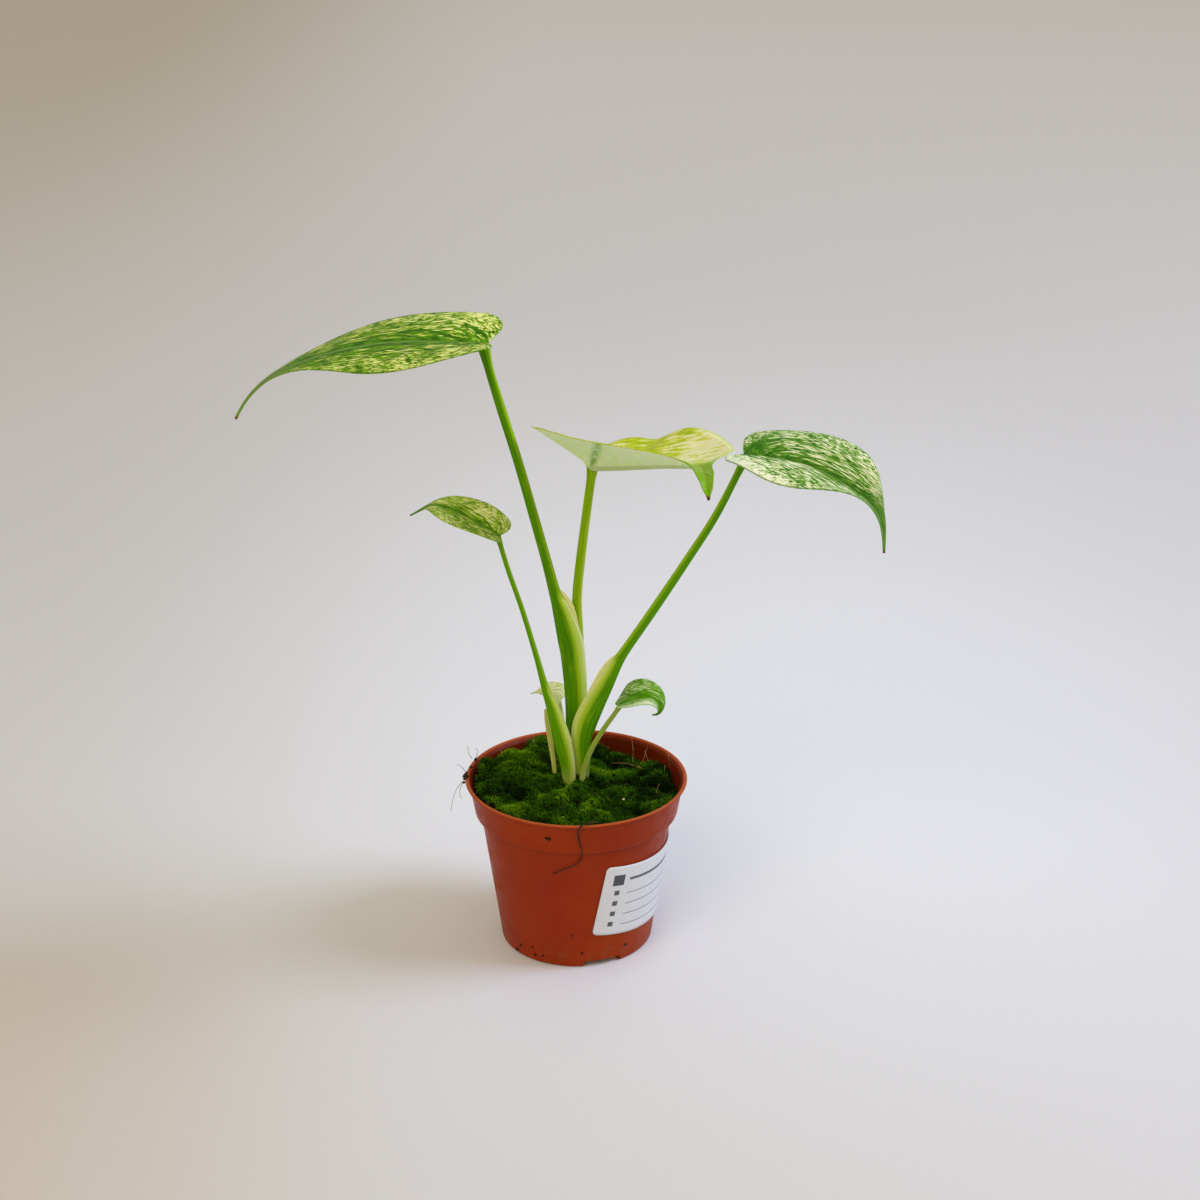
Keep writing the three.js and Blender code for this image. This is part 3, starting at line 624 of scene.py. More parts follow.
def body_radius(z):
    return between(z, 0.8, BODY_FOOT, SHOULDER_HEIGHT, BODY_TOP)


def band_radius(z):
    return between(z, SHOULDER_HEIGHT, BAND_FOOT, POT_HEIGHT, BAND_TOP)


# The pot


def pot_profile():
    lip_foot = POT_HEIGHT - LIP_DEPTH
    step = SHOULDER_HEIGHT + WALL
    return [
        [0.01, 0], [BODY_FOOT - 0.8, 0], [BODY_FOOT, 0.8],
        [BODY_TOP, SHOULDER_HEIGHT - 0.4], [BAND_FOOT - 0.6, SHOULDER_HEIGHT],
        [BAND_FOOT, SHOULDER_HEIGHT + 0.6], [band_radius(lip_foot), lip_foot - 0.2],
        [LIP_RADIUS - 0.25, lip_foot], [LIP_RADIUS, POT_HEIGHT - 0.7],
        [LIP_RADIUS - 0.25, POT_HEIGHT - 0.15], [LIP_RADIUS - 0.8, POT_HEIGHT],
        [LIP_RADIUS - 1.5, POT_HEIGHT - 0.3], [LIP_RADIUS - 1.8, POT_HEIGHT - 1],
        [band_radius(lip_foot) - WALL, lip_foot - 0.6], [BAND_FOOT - WALL, step + 0.6],
        [BAND_FOOT - WALL - 0.6, step], [BODY_TOP - WALL, step - 0.5],
        [body_radius(2) - WALL, 2], [body_radius(2) - WALL - 0.8, FLOOR], [0.01, FLOOR],
    ]


def rounded(profile, radius, steps=4):
    """The same outline with every corner turned into a small curve."""
    corners = np.asarray(profile, float)
    result = [corners[0]]
    for before, corner, after in zip(corners, corners[1:], corners[2:]):
        back = before - corner
        ahead = after - corner
        reach = min(radius, 0.45 * np.linalg.norm(back), 0.45 * np.linalg.norm(ahead))
        start = corner + reach * unit(back)
        end = corner + reach * unit(ahead)
        for t in np.linspace(0, 1, steps + 1):
            result.append((1 - t) ** 2 * start + 2 * t * (1 - t) * corner + t * t * end)
    result.append(corners[-1])
    return np.array(result)


def ring_sector(inner, outer, middle_angle, width, bottom, top, steps=12):
    angle = np.radians(np.linspace(middle_angle - width / 2, middle_angle + width / 2, steps))
    radius = np.array([inner, inner, outer, outer])
    height = np.array([bottom, top, top, bottom])
    return closed_tube(polar(radius, angle[:, None], height))


def upright_cylinder(centre, radius, bottom, top, sides=32):
    heights = np.array([[bottom], [top]])
    return closed_tube(polar(radius, turns(sides), heights) + centre)


def combine(piece, operation, name, shapes):
    """Adds shapes to a piece or cuts them out of it."""
    tool = add_object(name, new_mesh(name, *joined(shapes)))
    modifier = piece.modifiers.new(name, "BOOLEAN")
    modifier.operation = operation
    modifier.solver = "EXACT"
    modifier.object = tool
    graph = bpy.context.evaluated_depsgraph_get()
    result = bpy.data.meshes.new_from_object(piece.evaluated_get(graph))
    piece.modifiers.clear()
    piece.data = result
    bpy.data.objects.remove(tool)


def make_pot():
    profile = rounded(pot_profile(), 0.35)
    points, faces = closed_tube(polar(profile[:, :1], turns(POT_SIDES), profile[:, 1:]))
    pot = new_piece("nursery_pot", points, faces, [pot_plastic()], "pot_plastic",
                    stands_for=["pot"])
    roofs = [ring_sector(NOTCH_INNER_RADIUS - NOTCH_ROOF, BODY_FOOT - 0.4, angle,
                         NOTCH_WIDTH + 6, FLOOR - 0.4, NOTCH_HEIGHT + NOTCH_ROOF)
             for angle in NOTCH_ANGLES]
    recesses = [ring_sector(NOTCH_INNER_RADIUS, BODY_FOOT + 4, angle, NOTCH_WIDTH, -1, NOTCH_HEIGHT)
                for angle in NOTCH_ANGLES]
    drains = [upright_cylinder(polar(DRAIN_PLACE, math.radians(angle), 0), DRAIN_RADIUS,
                               NOTCH_HEIGHT - 1.5, NOTCH_HEIGHT + 2.5)
              for angle in NOTCH_ANGLES]
    combine(pot, "UNION", "roofs", roofs)
    combine(pot, "DIFFERENCE", "recesses", recesses)
    combine(pot, "DIFFERENCE", "drains", drains)
    pot.data.set_sharp_from_angle(angle=math.radians(40))


def painted_shade_inner_band(nodes, place):
    """1 on the inner face of the pot's band, which gets a painted shade, and 0 on its outer face
    and below it.
    """
    x, y, height = nodes.parts(place)
    from_axis = nodes.math("SQRT", nodes.raised(nodes.times(y, y), x, x))
    widening = (BAND_TOP - BAND_FOOT) / (POT_HEIGHT - SHOULDER_HEIGHT)
    from_cone = nodes.raised(from_axis, height, -widening)
    outer = band_radius(0)
    above = nodes.rising(height, (SHOULDER_HEIGHT + 0.5) * MM, (SHOULDER_HEIGHT + 1.5) * MM)
    return nodes.times(above, nodes.rising(from_cone, (outer - 0.1) * MM, (outer - 0.5) * MM))


def pot_plastic():
    nodes = Nodes("pot_plastic", roughness=0.4, specular=0.1)
    place = nodes.place()
    height = nodes.parts(place)[2]
    clouds = nodes.noise(place, 28, detail=3)
    specks = nodes.noise(place, 900)
    scratches = nodes.noise(place, (60, 60, 1600))
    body = nodes.tinted("#8c2800", "#943100", clouds, 0.35, 0.68)
    body = nodes.tinted(body, "#a04a1c", specks, 0.62, 0.8, 0.25)
    body = nodes.tinted(body, "#984020", scratches, 0.66, 0.74, 0.3)
    # Painted shade: the inner face of the band is darkened, as where the pot shades its own inside.
    body = nodes.mix(nodes.times(painted_shade_inner_band(nodes, place), 0.75), body, "#4e1400")
    # Painted highlight: the top of the lip is made lighter, as where light catches it.
    body = nodes.tinted(body, "#c07040", height, (POT_HEIGHT - 0.8) * MM, (POT_HEIGHT - 0.2) * MM,
                        0.4)
    dust = nodes.rising(nodes.noise(place, 260, detail=4), 0.45, 0.7)
    dusty = nodes.times(nodes.rising(height, 16 * MM, 0, end=0.5), dust)
    body = nodes.mix(dusty, body, "#854a2a")
    nodes.rough(nodes.rising(nodes.noise(place, 160, detail=3), 0.3, 0.7, 0.34, 0.5))
    return nodes.finished(body, nodes.noise(place, 1400), 0.03, 0.5,
                          glow=0.08, glow_mm=(2.5, 0.6, 0.05))


# The label


def label_point(across, up, lift):
    """A place on the label, which is flat paper wrapped round the body's cone."""
    slope = (BODY_TOP - BODY_FOOT) / (SHOULDER_HEIGHT - 0.8)
    lean = math.atan(slope)
    cone_tip = LABEL_MIDDLE_HEIGHT - body_radius(LABEL_MIDDLE_HEIGHT) / slope
    from_tip = (LABEL_MIDDLE_HEIGHT - cone_tip) / math.cos(lean)
    tilt = math.radians(LABEL_TILT)
    x = across * math.cos(tilt) - up * math.sin(tilt)
    y = from_tip + across * math.sin(tilt) + up * math.cos(tilt)
    slant = np.hypot(x, y)
    angle = math.radians(LABEL_MIDDLE_ANGLE) + np.arctan2(x, y) / math.sin(lean)
    z = cone_tip + slant * math.cos(lean)
    return polar(slant * math.sin(lean) + LABEL_GAP + lift, angle, z)


def make_label():
    columns = 70
    rows = 30
    k = np.linspace(-1, 1, columns)
    across = LABEL_WIDTH / 2 * np.sign(k) * (1 - (1 - np.abs(k)) ** 1.3)
    from_end = LABEL_WIDTH / 2 - np.abs(across)
    in_corner = np.maximum(LABEL_CORNER - from_end, 0)
    cut = LABEL_CORNER - np.sqrt(LABEL_CORNER ** 2 - in_corner ** 2)
    up = np.linspace(-1, 1, rows)[:, None] * (LABEL_HEIGHT / 2 - cut)
    across = np.tile(across, (rows, 1))
    top = label_point(across, up, LABEL_THICKNESS)
    points, faces = closed_sheet(top, label_point(across, up, 0))
    new_piece("blank_label", points, faces, [label_paper()], "label_paper",
              uvs={"flat": point_layer(across, up)}, stands_for=["label"])


def label_paper():
    nodes = Nodes("label_paper", roughness=0.45)
    flat = nodes.uv("flat")
    fibres = nodes.noise(flat, 2.5, detail=4, roughness=0.7)
    paper = nodes.tinted("#cccfd3", "#d3d5d9", fibres, 0.3, 0.7)
    across, up = nodes.parts(flat)[:2]
    for start, end, height, thickness, ink in LABEL_RULES:
        inside = nodes.times(nodes.rising(across, start - 0.1, start + 0.1),
                             nodes.rising(across, end + 0.1, end - 0.1))
        away = nodes.math("ABSOLUTE", nodes.less(up, height))
        on_line = nodes.rising(away, thickness / 2 + 0.08, thickness / 2 - 0.08)
        paper = nodes.mix(nodes.times(inside, on_line), paper, ink)
    return nodes.finished(paper, nodes.noise(flat, 0.35, detail=3), 0.12, 0.4)


# Leaf blades


def rib_frames(blade):
    t = np.linspace(0, 1, RIB_STEPS + 1)
    pitch = np.radians(along(blade["pitch"], t))
    heading = np.radians(along(blade["heading"], t))
    roll = np.radians(along(blade["roll"], t))[:, None]
    forward = np.stack([np.cos(pitch) * np.cos(heading), np.cos(pitch) * np.sin(heading),
                        np.sin(pitch)], axis=-1)
    left = np.stack([-np.sin(heading), np.cos(heading), 0 * heading], axis=-1)
    up = np.cross(forward, left)
    rolled_left = left * np.cos(roll) + up * np.sin(roll)
    rolled_up = up * np.cos(roll) - left * np.sin(roll)
    steps = forward[:-1] * blade["length"] / RIB_STEPS
    start = np.array([blade["base"]], float)
    place = np.concatenate([start, start + np.cumsum(steps, axis=0)])
    return {"place": place, "forward": forward, "left": rolled_left, "up": rolled_up}


def frame_at(frames, share):
    place = np.clip(share, 0, 1) * RIB_STEPS
    i = np.minimum(place.astype(int), RIB_STEPS - 1)
    f = (place - i)[..., None]
    return {key: table[i] * (1 - f) + table[i + 1] * f for key, table in frames.items()}


def blade_surface(blade, t, v):
    """Middle points of a blade with, for each, its share of the rib and distance from the rib."""
    shape = along(BLADE_OUTLINE, t)
    reach = shape[..., 0]
    width = shape[..., 1]
    foot = shape[..., 2]
    widening = smooth_step(reach, 0.8, 0.9) * smooth_step(reach, 1, 0.96)
    width = width + blade.get("tip_width", 0) * widening
    lobe = np.where(v > 0, blade["lobes"][0], blade["lobes"][1])
    reach = np.where(reach < 0, reach * lobe, reach)
    share = foot + (reach - foot) * np.abs(v) ** VEIN_SWEEP
    frame_here = frame_at(rib_frames(blade), share)
    fold = np.radians(np.where(v > 0, along(blade["left"], share), along(blade["right"], share)))
    out = np.abs(width * v * blade["half"])
    cup = np.where(v > 0, *blade["cup"])
    lift = out * np.sin(fold) + cup * out ** 2 / blade["half"]
    droop = np.radians(np.where(v > 0, *blade.get("droop", (0, 0))))
    back = np.minimum(share, 0) * blade["length"]
    lift = lift - back * np.sin(droop)
    depth, wave_share, spread = blade.get("wave", (0, 0, 1))
    dip = depth * v ** 2 * np.exp(-((share - wave_share) / spread) ** 2)
    lift = lift - np.where(v > 0, dip, 0)
    points = (frame_here["place"]
              + frame_here["forward"] * (back * np.cos(droop))[..., None]
              + frame_here["left"] * (np.sign(v) * out * np.cos(fold))[..., None]
              + frame_here["up"] * lift[..., None])
    return points, share, out


def rib_forms(share, out, size):
    """How deep the rib's groove lies in the upper face, and its keel under the lower one."""
    fade = np.clip(1 - share, 0, 1)
    groove = GROOVE_DEPTH * size * fade * np.exp(-(out / (GROOVE_WIDTH * size)) ** 2)
    depth = size * (KEEL_DEPTH[0] + KEEL_DEPTH[1] * fade ** 1.5)
    width = size * (KEEL_WIDTH[0] + KEEL_WIDTH[1] * fade)
    return groove, depth * np.exp(-(out / width) ** 2)


def blade_layers(length, size, look, t, v, share, out):
    """What the leaf's materials need to know about each point."""
    blots = np.zeros_like(out)
    for at_share, at_side, long, wide, strength in look["blots"]:
        away = ((share - at_share) / long) ** 2 + ((v - at_side) / wide) ** 2
        blots += strength * np.exp(-away)
    stripe_share, stripe_slope, stripe_width = look.get("stripe", (9, 0, 1))
    from_stripe = share - stripe_share - stripe_slope * np.abs(v)
    stripe = np.exp(-(from_stripe / stripe_width) ** 2) * smooth_step(v, 0, -0.1)
    base_slant, tip_slant = look.get("slants", VEIN_SLANTS)
    slant = base_slant + (tip_slant - base_slant) * smooth_step(share, 0, 0.7)
    start = share * length - slant * out
    stretch = np.hypot(1, slant)
    return {
        "streak": point_layer(start / stretch, out * stretch + 300 * np.sign(v)),
        "marks": point_layer(blots, start / (VEIN_STEP * length)),
        "flat": point_layer(share * length, np.sign(v) * out),
        "edge": point_layer(np.abs(v), share),
        "row": point_layer(t, out / size),
        "stripe": point_layer(stripe, stripe),
    }


def make_blade(name):
    blade = BLADES[name]
    look = LEAF_LOOKS[name]
    size = blade["half"] / FULL_HALF_WIDTH
    k = np.linspace(-1, 1, 2 * BLADE_COLUMNS + 1)
    t, v = np.meshgrid(np.linspace(0.002, 0.998, BLADE_ROWS), np.sign(k) * np.abs(k) ** 1.5,
                       indexing="ij")
    middle, share, out = blade_surface(blade, t, v)
    normals = unit(np.cross(np.gradient(middle, axis=0), np.gradient(middle, axis=1)))
    ridges = np.sin(2 * np.pi * VEIN_RIDGES * t) * smooth_step(out, 1, 6)
    ridges = VEIN_RISE * size * ridges * smooth_step(np.abs(v), 1, 0.8)
    thickness = RIB_THICKNESS + (EDGE_THICKNESS - RIB_THICKNESS) * np.abs(v)
    thickness = thickness * (0.55 + 0.45 * size)
    groove, keel = rib_forms(share, out, size)
    top = middle + normals * (ridges + thickness / 2 - groove)[..., None]
    bottom = middle + normals * (ridges - thickness / 2 - keel)[..., None]
    points, faces = closed_sheet(top, bottom)
    on_one_side = (BLADE_ROWS - 1) * 2 * BLADE_COLUMNS
    face_materials = np.zeros(len(faces), int)
    face_materials[on_one_side:2 * on_one_side] = 1
    uvs = blade_layers(blade["length"], size, look, t, v, share, out)
    slots = {"middle": "leaf_pale", "cream": "leaf_cream"}
    new_piece(f"leaf_{name}", points, faces, [leaf_top(name, look), leaf_under(name, look)],
              slots.get(name, "leaf_green"), uvs=uvs, face_materials=face_materials,
              stands_for=[f"blade_{name}"])


def side_veins(nodes):
    """1 on each side vein, falling to 0 between them and at the margin."""
    wobble = nodes.noise(nodes.uv("flat"), (0.12, 0.12, 1))
    steps = nodes.raised(nodes.pair("marks")[1], wobble, 0.35)
    away = nodes.math("PINGPONG", steps, 0.5)
    fading = nodes.rising(nodes.pair("edge")[0], 0.95, 0.3)
    return nodes.times(nodes.rising(away, 0.17, 0.02), fading)


def leaf_pattern(nodes, look):
    """How pale each place is, from 0 to 1, before it is cut into marks."""
    streak = nodes.uv("streak")
    flat = nodes.uv("flat")
    row = nodes.pair("row")[0]
    edge = nodes.pair("edge")[0]
    width, length = look["streak"]
    fine = nodes.noise(streak, (1 / width, 1 / length, 1), detail=4, roughness=0.7,
                       distortion=0.4)
    mesh_wide, mesh_long = look["cells"]
    meshes = nodes.scaled(streak, (1 / mesh_wide, 1 / mesh_long, 1))
    net = nodes.rising(nodes.cells(meshes, 1, feature="DISTANCE_TO_EDGE"), 0.16, 0.05)
    dots = nodes.noise(flat, 1 / look["dots"], detail=3, roughness=0.7, distortion=0.3)
    near_base = nodes.rising(row, 0.5, 0.3, end=look["net"])
    marks = nodes.raised(fine, nodes.less(dots, fine), near_base)
    marks = nodes.swayed(marks, nodes.noise(flat, (1 / 9, 1 / 6, 1)), look["patch"])
    marks = nodes.math("ADD", marks, nodes.pair("marks")[0])
    marks = nodes.raised(marks, side_veins(nodes), -0.13)
    marks = nodes.raised(marks, net, -0.12)
    return nodes.swayed(marks, edge, look["outward"])


def pale_from(look):
    """The level of the pattern above which a leaf of this look is pale."""
    return 0.62 - 0.24 * look["cover"]


def leaf_top(name, look):
    nodes = Nodes(f"leaf_{name}_top", roughness=0.5, specular=0.08)
    side, share = nodes.pair("edge")
    out = nodes.pair("row")[1]
    level = nodes.less(leaf_pattern(nodes, look), nodes.rising(out, 4, 1, end=0.1))
    pale = pale_from(look)
    veins = side_veins(nodes)
    clouds = nodes.noise(nodes.uv("flat"), 0.25, detail=3)
    ground = nodes.tinted(look["deep"], look["green"], clouds, 0.35, 0.65)
    ground = nodes.mix(nodes.times(veins, 0.8), ground, look["deep"])
    skin = nodes.tinted(ground, look["green"], level, pale - 0.05, pale - 0.03)
    skin = nodes.tinted(skin, look["pale"], level, pale - 0.02, pale + 0.01)
    skin = nodes.tinted(skin, look["cream"], level, pale + 0.05, pale + 0.09)
    skin = nodes.tinted(skin, look["green"], side, 0.98, 0.99, 0.6)
    skin = nodes.tinted(skin, look["tip"], share, 0.66, 0.82, 0.8)
    on_rib = nodes.times(nodes.rising(out, 1.1, 0.3), nodes.rising(share, 0.95, 0.7))
    skin = nodes.mix(on_rib, skin, look["rib"])
    skin = nodes.tinted(skin, TIP_BROWN, share, 0.982, 0.995)
    nodes.rough(nodes.rising(level, 0.3, 0.7, 0.45, 0.6))
    between_veins = nodes.rising(veins, 0, 1, start=1, end=0)
    return nodes.finished(skin, between_veins, 0.35, 0.6, glow=0.08, glow_mm=(0.4, 0.6, 0.1))


def leaf_under(name, look):
    nodes = Nodes(f"leaf_{name}_under", roughness=0.6, specular=0.14)
    side, share = nodes.pair("edge")
    out = nodes.pair("row")[1]
    pale = pale_from(look)
    paler = nodes.mix(0.5, look["under"], "#dfe8c0")
    skin = nodes.tinted(look["under"], paler, leaf_pattern(nodes, look), pale - 0.12, pale + 0.12)
    veins = nodes.noise(nodes.uv("streak"), (0.7, 0.05, 1), detail=3)
    skin = nodes.tinted(skin, "#dde5c6", veins, 0.45, 0.6, 0.6)
    stripe = nodes.pair("stripe")[0]
    broken = nodes.rising(nodes.noise(nodes.uv("flat"), 0.35), 0.3, 0.6, start=0.3)
    skin = nodes.mix(nodes.times(stripe, broken), skin, "#6f9a20")
    on_rib = nodes.times(nodes.rising(out, 1.6, 0.9), nodes.rising(share, 1.0, 0.6))
    skin = nodes.mix(on_rib, skin, "#b9cc90")
    skin = nodes.tinted(skin, look["deep"], side, 0.975, 0.99, 0.7)
    skin = nodes.tinted(skin, look["tip"], share, 0.76, 0.86)
    paint = nodes.tinted(skin, TIP_BROWN, share, 0.982, 0.995)
    return nodes.finished(paint, veins, 0.15, 0.6, glow=0.4, glow_mm=(2.0, 2.6, 0.9))


# Leaf stalks


def stalk_rings(stations, steps, sides, flare=0.0):
    """Elliptical rings along a smooth line, with each point's angle and height. flare is how much
    the top widens, where a stalk passes into its blade's rib."""
    path = along(stations, np.linspace(0, 1, steps))
    middle = path[:, :3]
    forward = unit(np.gradient(middle, axis=0))
    across = unit(np.cross([0, 1, 0], forward))
    deep = np.cross(forward, across)
    from_top = np.linalg.norm(middle[-1] - middle, axis=1) / path[:, 3].mean()
    half = path[:, 3:5] * (1 + flare * smooth_step(from_top, 3.0, 0.0))[:, None]
    angle = turns(sides)
    points = rings_round(middle, across, deep, half[:, 0], half[:, 1], angle)
    return points, np.tile(angle, (steps, 1)), np.repeat(middle[:, 2:], sides, axis=1)


def sheath_marks(name, angle, height):
    """How pale a stalk is at each point, from its sheath and from painted light on one side, and
    where a bright margin line runs.
    """
    sheath = SHEATHS.get(name)
    if sheath is None:
        # Painted light: a stalk without a sheath is made paler on its right side.
        return 0.45 * smooth_step(np.cos(angle), -0.2, 1), np.zeros_like(angle)
    top = sheath["top"]
    sideways = sheath["side"] * np.cos(angle)
    # Painted light: one side of the stalk is made paler, as on its lit side.
    painted_lit_side = 0.45 * smooth_step(sideways, -0.2, 1)
    inside = smooth_step(height, SHEATH_FOOT, SHEATH_FOOT + 8)
    inside = inside * smooth_step(height, top + 6, top - 4)
    pale = np.maximum(painted_lit_side, smooth_step(sideways, -0.35, 1.0) * inside)
    centre = 0.75 + 0.5 * (height - SHEATH_FOOT) / (top - SHEATH_FOOT)
    line = np.exp(-((sideways - centre) / 0.09) ** 2) * inside * sheath["line"]
    return pale, line


def make_stalk(name):
    stations = np.asarray(STALKS[name], float)
    stations[-1, :3] += STALK_REACH * unit(stations[-1, :3] - stations[-2, :3])
    points, angle, height = stalk_rings(stations, 14 * len(stations), STALK_SIDES,
                                        flare=STALK_FLARES.get(name, USUAL_FLARE))
    flat, faces = closed_tube(points)
    uvs = {"grow": point_layer(np.cos(angle) * 4, height),
           "sheath": point_layer(*sheath_marks(name, angle, height))}
    skin = stalk_skin(f"stalk_{name}_skin", *STALK_COLOURS[name])
    new_piece(f"petiole_{name}", flat, faces, [skin], "stalk_skin", uvs=uvs,
              stands_for=[f"stalk_{name}"])


def stalk_skin(name, deep, bright, light):
    nodes = Nodes(name, roughness=0.5, specular=0.05)
    grow = nodes.uv("grow")
    # pale holds both the sheath's own paleness and the painted light on one side of the stalk.
    pale, line = nodes.pair("sheath")
    lines = nodes.noise(grow, (1.6, 0.035, 1), detail=3)
    blotches = nodes.noise(grow, (0.5, 0.08, 1))
    streaky = nodes.swayed(pale, lines, 0.45)
    skin = nodes.tinted(deep, bright, lines, 0.25, 0.75)
    skin = nodes.tinted(skin, light, blotches, 0.5, 0.75, 0.25)
    skin = nodes.tinted(skin, light, streaky, 0.1, 0.6)
    skin = nodes.tinted(skin, "#b9d060", streaky, 0.5, 0.9, 0.9)
    skin = nodes.tinted(skin, "#e1e9ba", streaky, 0.88, 1.05, 0.85)
    skin = nodes.tinted(skin, "#adbb5e", nodes.parts(grow)[1], 80, 67, 0.65)
    paint = nodes.mix(line, skin, "#dfe5bb")
    return nodes.finished(paint, lines, 0.08, 0.4, glow=0.12, glow_mm=(0.6, 0.9, 0.1))


def make_sheath_margin(name):
    """The thin, see-through margin of a sheath, which ends in a small free tip."""
    sheath = SHEATHS[name]
    table = np.asarray(STALKS[name], float)
    heights = np.linspace(*sheath["margin"], MARGIN_ROWS)
    path = np.stack([np.interp(heights, table[:, 2], table[:, k]) for k in range(5)], axis=-1)
    forward = unit(np.gradient(path[:, :3], axis=0))
    across = unit(np.cross([0, 1, 0], forward)) * sheath["side"]
    share = np.linspace(0, 1, MARGIN_ROWS)[:, None]
    width = sheath["width"] * np.sin(np.pi * share ** sheath["lean"]) ** 0.7
    out = np.linspace(0, 1, MARGIN_COLUMNS)
    reach = path[:, 3:4] * 0.9 + width * out
    middle = path[:, None, :3] + across[:, None] * reach[..., None]
    middle[..., 1] += sheath["depth"] - 0.3 * out ** 2
    half_thick = np.array([0, MARGIN_THICKNESS / 2, 0])
    points, faces = closed_sheet(middle + half_thick, middle - half_thick)
    new_piece(f"sheath_margin_{name}", points, faces, [sheath_margin_skin()], "stalk_skin",
              uvs={"flat": point_layer(*np.broadcast_arrays(out, share))})


def sheath_margin_skin():
    nodes = Nodes("sheath_margin", roughness=0.45, specular=0.3)
    flat = nodes.uv("flat")
    lines = nodes.noise(flat, (6, 30, 1), detail=3)
    pale = nodes.tinted("#cfd778", "#e9edb6", lines, 0.35, 0.7)
    paint = nodes.tinted(pale, "#a3bb48", nodes.parts(flat)[0], 0.4, 0.0, 0.5)
    return nodes.finished(paint, lines, 0.05, 0.4, glow=0.3, glow_mm=(0.8, 0.9, 0.4))


def make_dry_sheath():
    points, angle, height = stalk_rings(DRY_SHEATH, 60, 36)
    flat, faces = closed_tube(points)
    new_piece("dry_husk", flat, faces, [dry_skin()], "dry_skin",
              uvs={"grow": point_layer(np.cos(angle) * 2, height)}, stands_for=["dry_sheath"])


def dry_skin():
    nodes = Nodes("dry_skin", roughness=0.7)
    lines = nodes.noise(nodes.uv("grow"), (2.5, 0.08, 1), detail=4)
    paint = nodes.tinted("#a3ae3c", "#cbd07c", lines, 0.35, 0.7)
    return nodes.finished(paint, lines, 0.2, 0.6, glow=0.3, glow_mm=(1.5, 1.5, 0.8))


# Moss


def moss_height(x, y):
    broad = sum(high * np.exp(-(np.hypot(x - at_x, y - at_y) / spread) ** 2)
                for high, (at_x, at_y), spread in MOSS_SWELLS)
    cushions = np.zeros_like(x)
    for i in range(MOSS_CUSHIONS):
        angle = math.radians(i * GOLDEN_ANGLE)
        reach = MOSS_REACH * math.sqrt((i + 0.5) / MOSS_CUSHIONS)
        radius = MOSS_CUSHION_RADIUS * (1 + 0.3 * math.sin(5 * i))
        distance = np.hypot(x - reach * math.cos(angle), y - reach * math.sin(angle)) / radius
        dome = np.sqrt(np.maximum(1 - distance ** 2, 0))
        cushions = np.maximum(cushions, dome * MOSS_CUSHION_RISE * (1 + 0.4 * math.cos(3 * i)))
    mounds = sum(high * (lattice(x, y, size, seed) - 0.5) for high, size, seed in MOSS_MOUNDS)
    return MOSS_LEVEL + broad + cushions + mounds


def moss_edge(z):
    return band_radius(z) - WALL - MOSS_EDGE_GAP


def make_moss():
    rings = 110
    angle = turns(300)
    share = np.linspace(1, 0.002, rings)[:, None]
    radius = moss_edge(MOSS_LEVEL - 2) * share
    x = radius * np.cos(angle)
    y = radius * np.sin(angle)
    z = moss_height(x, y) - 1.2 * smooth_step(share, 0.97, 1)
    foot = BODY_TOP - WALL - MOSS_EDGE_GAP
    side_height = SHOULDER_HEIGHT + WALL + 1.2
    low_radius = np.array([[0.02], [foot], [moss_edge(side_height)]])
    low_height = np.array([[MOSS_BOTTOM], [MOSS_BOTTOM], [side_height]])
    low = polar(low_radius, angle, low_height)
    points, faces = closed_tube(np.concatenate([low, np.stack([x, y, z], axis=-1)]))
    new_piece("moss_mat", points, faces, [moss_ground()], "moss_cushion", stands_for=["moss"])


def moss_ground():
    nodes = Nodes("moss_ground", roughness=0.9, specular=0.2)
    clumps = nodes.noise(nodes.place(), 420, detail=4, roughness=0.65)
    # Its near-black colours are painted shade, for the gaps between the shoots.
    ground = nodes.tinted("#020400", "#0b1801", clumps, 0.38, 0.66)
    return nodes.finished(ground, clumps, 0.8, 0.8)


def shoot_places(chance, count):
    """Places on the moss, drawn at random, without those where a stalk comes up."""
    radius = (moss_edge(MOSS_LEVEL) - 0.4) * np.sqrt(chance.random(count))
    angle = 2 * np.pi * chance.random(count)
    x = radius * np.cos(angle)
    y = radius * np.sin(angle)
    clear = np.ones(count, bool)
    for stations in STALKS.values():
        foot_x, foot_y, _, half_across, half_deep = stations[0]
        clear &= np.hypot(x - foot_x, y - foot_y) > max(half_across, half_deep)
    return x[clear], y[clear]


def shoot_axes(chance, x, y):
    """Which way each shoot grows: away from the slope under it, with a lean of its own."""
    step = 0.4
    slope_x = (moss_height(x + step, y) - moss_height(x - step, y)) / (2 * step)
    slope_y = (moss_height(x, y + step) - moss_height(x, y - step)) / (2 * step)
    lean = 0.35 * chance.standard_normal((len(x), 2))
    axis = np.stack([lean[:, 0] - 0.7 * slope_x, lean[:, 1] - 0.7 * slope_y, np.ones_like(x)],
                    axis=-1)
    return unit(axis)


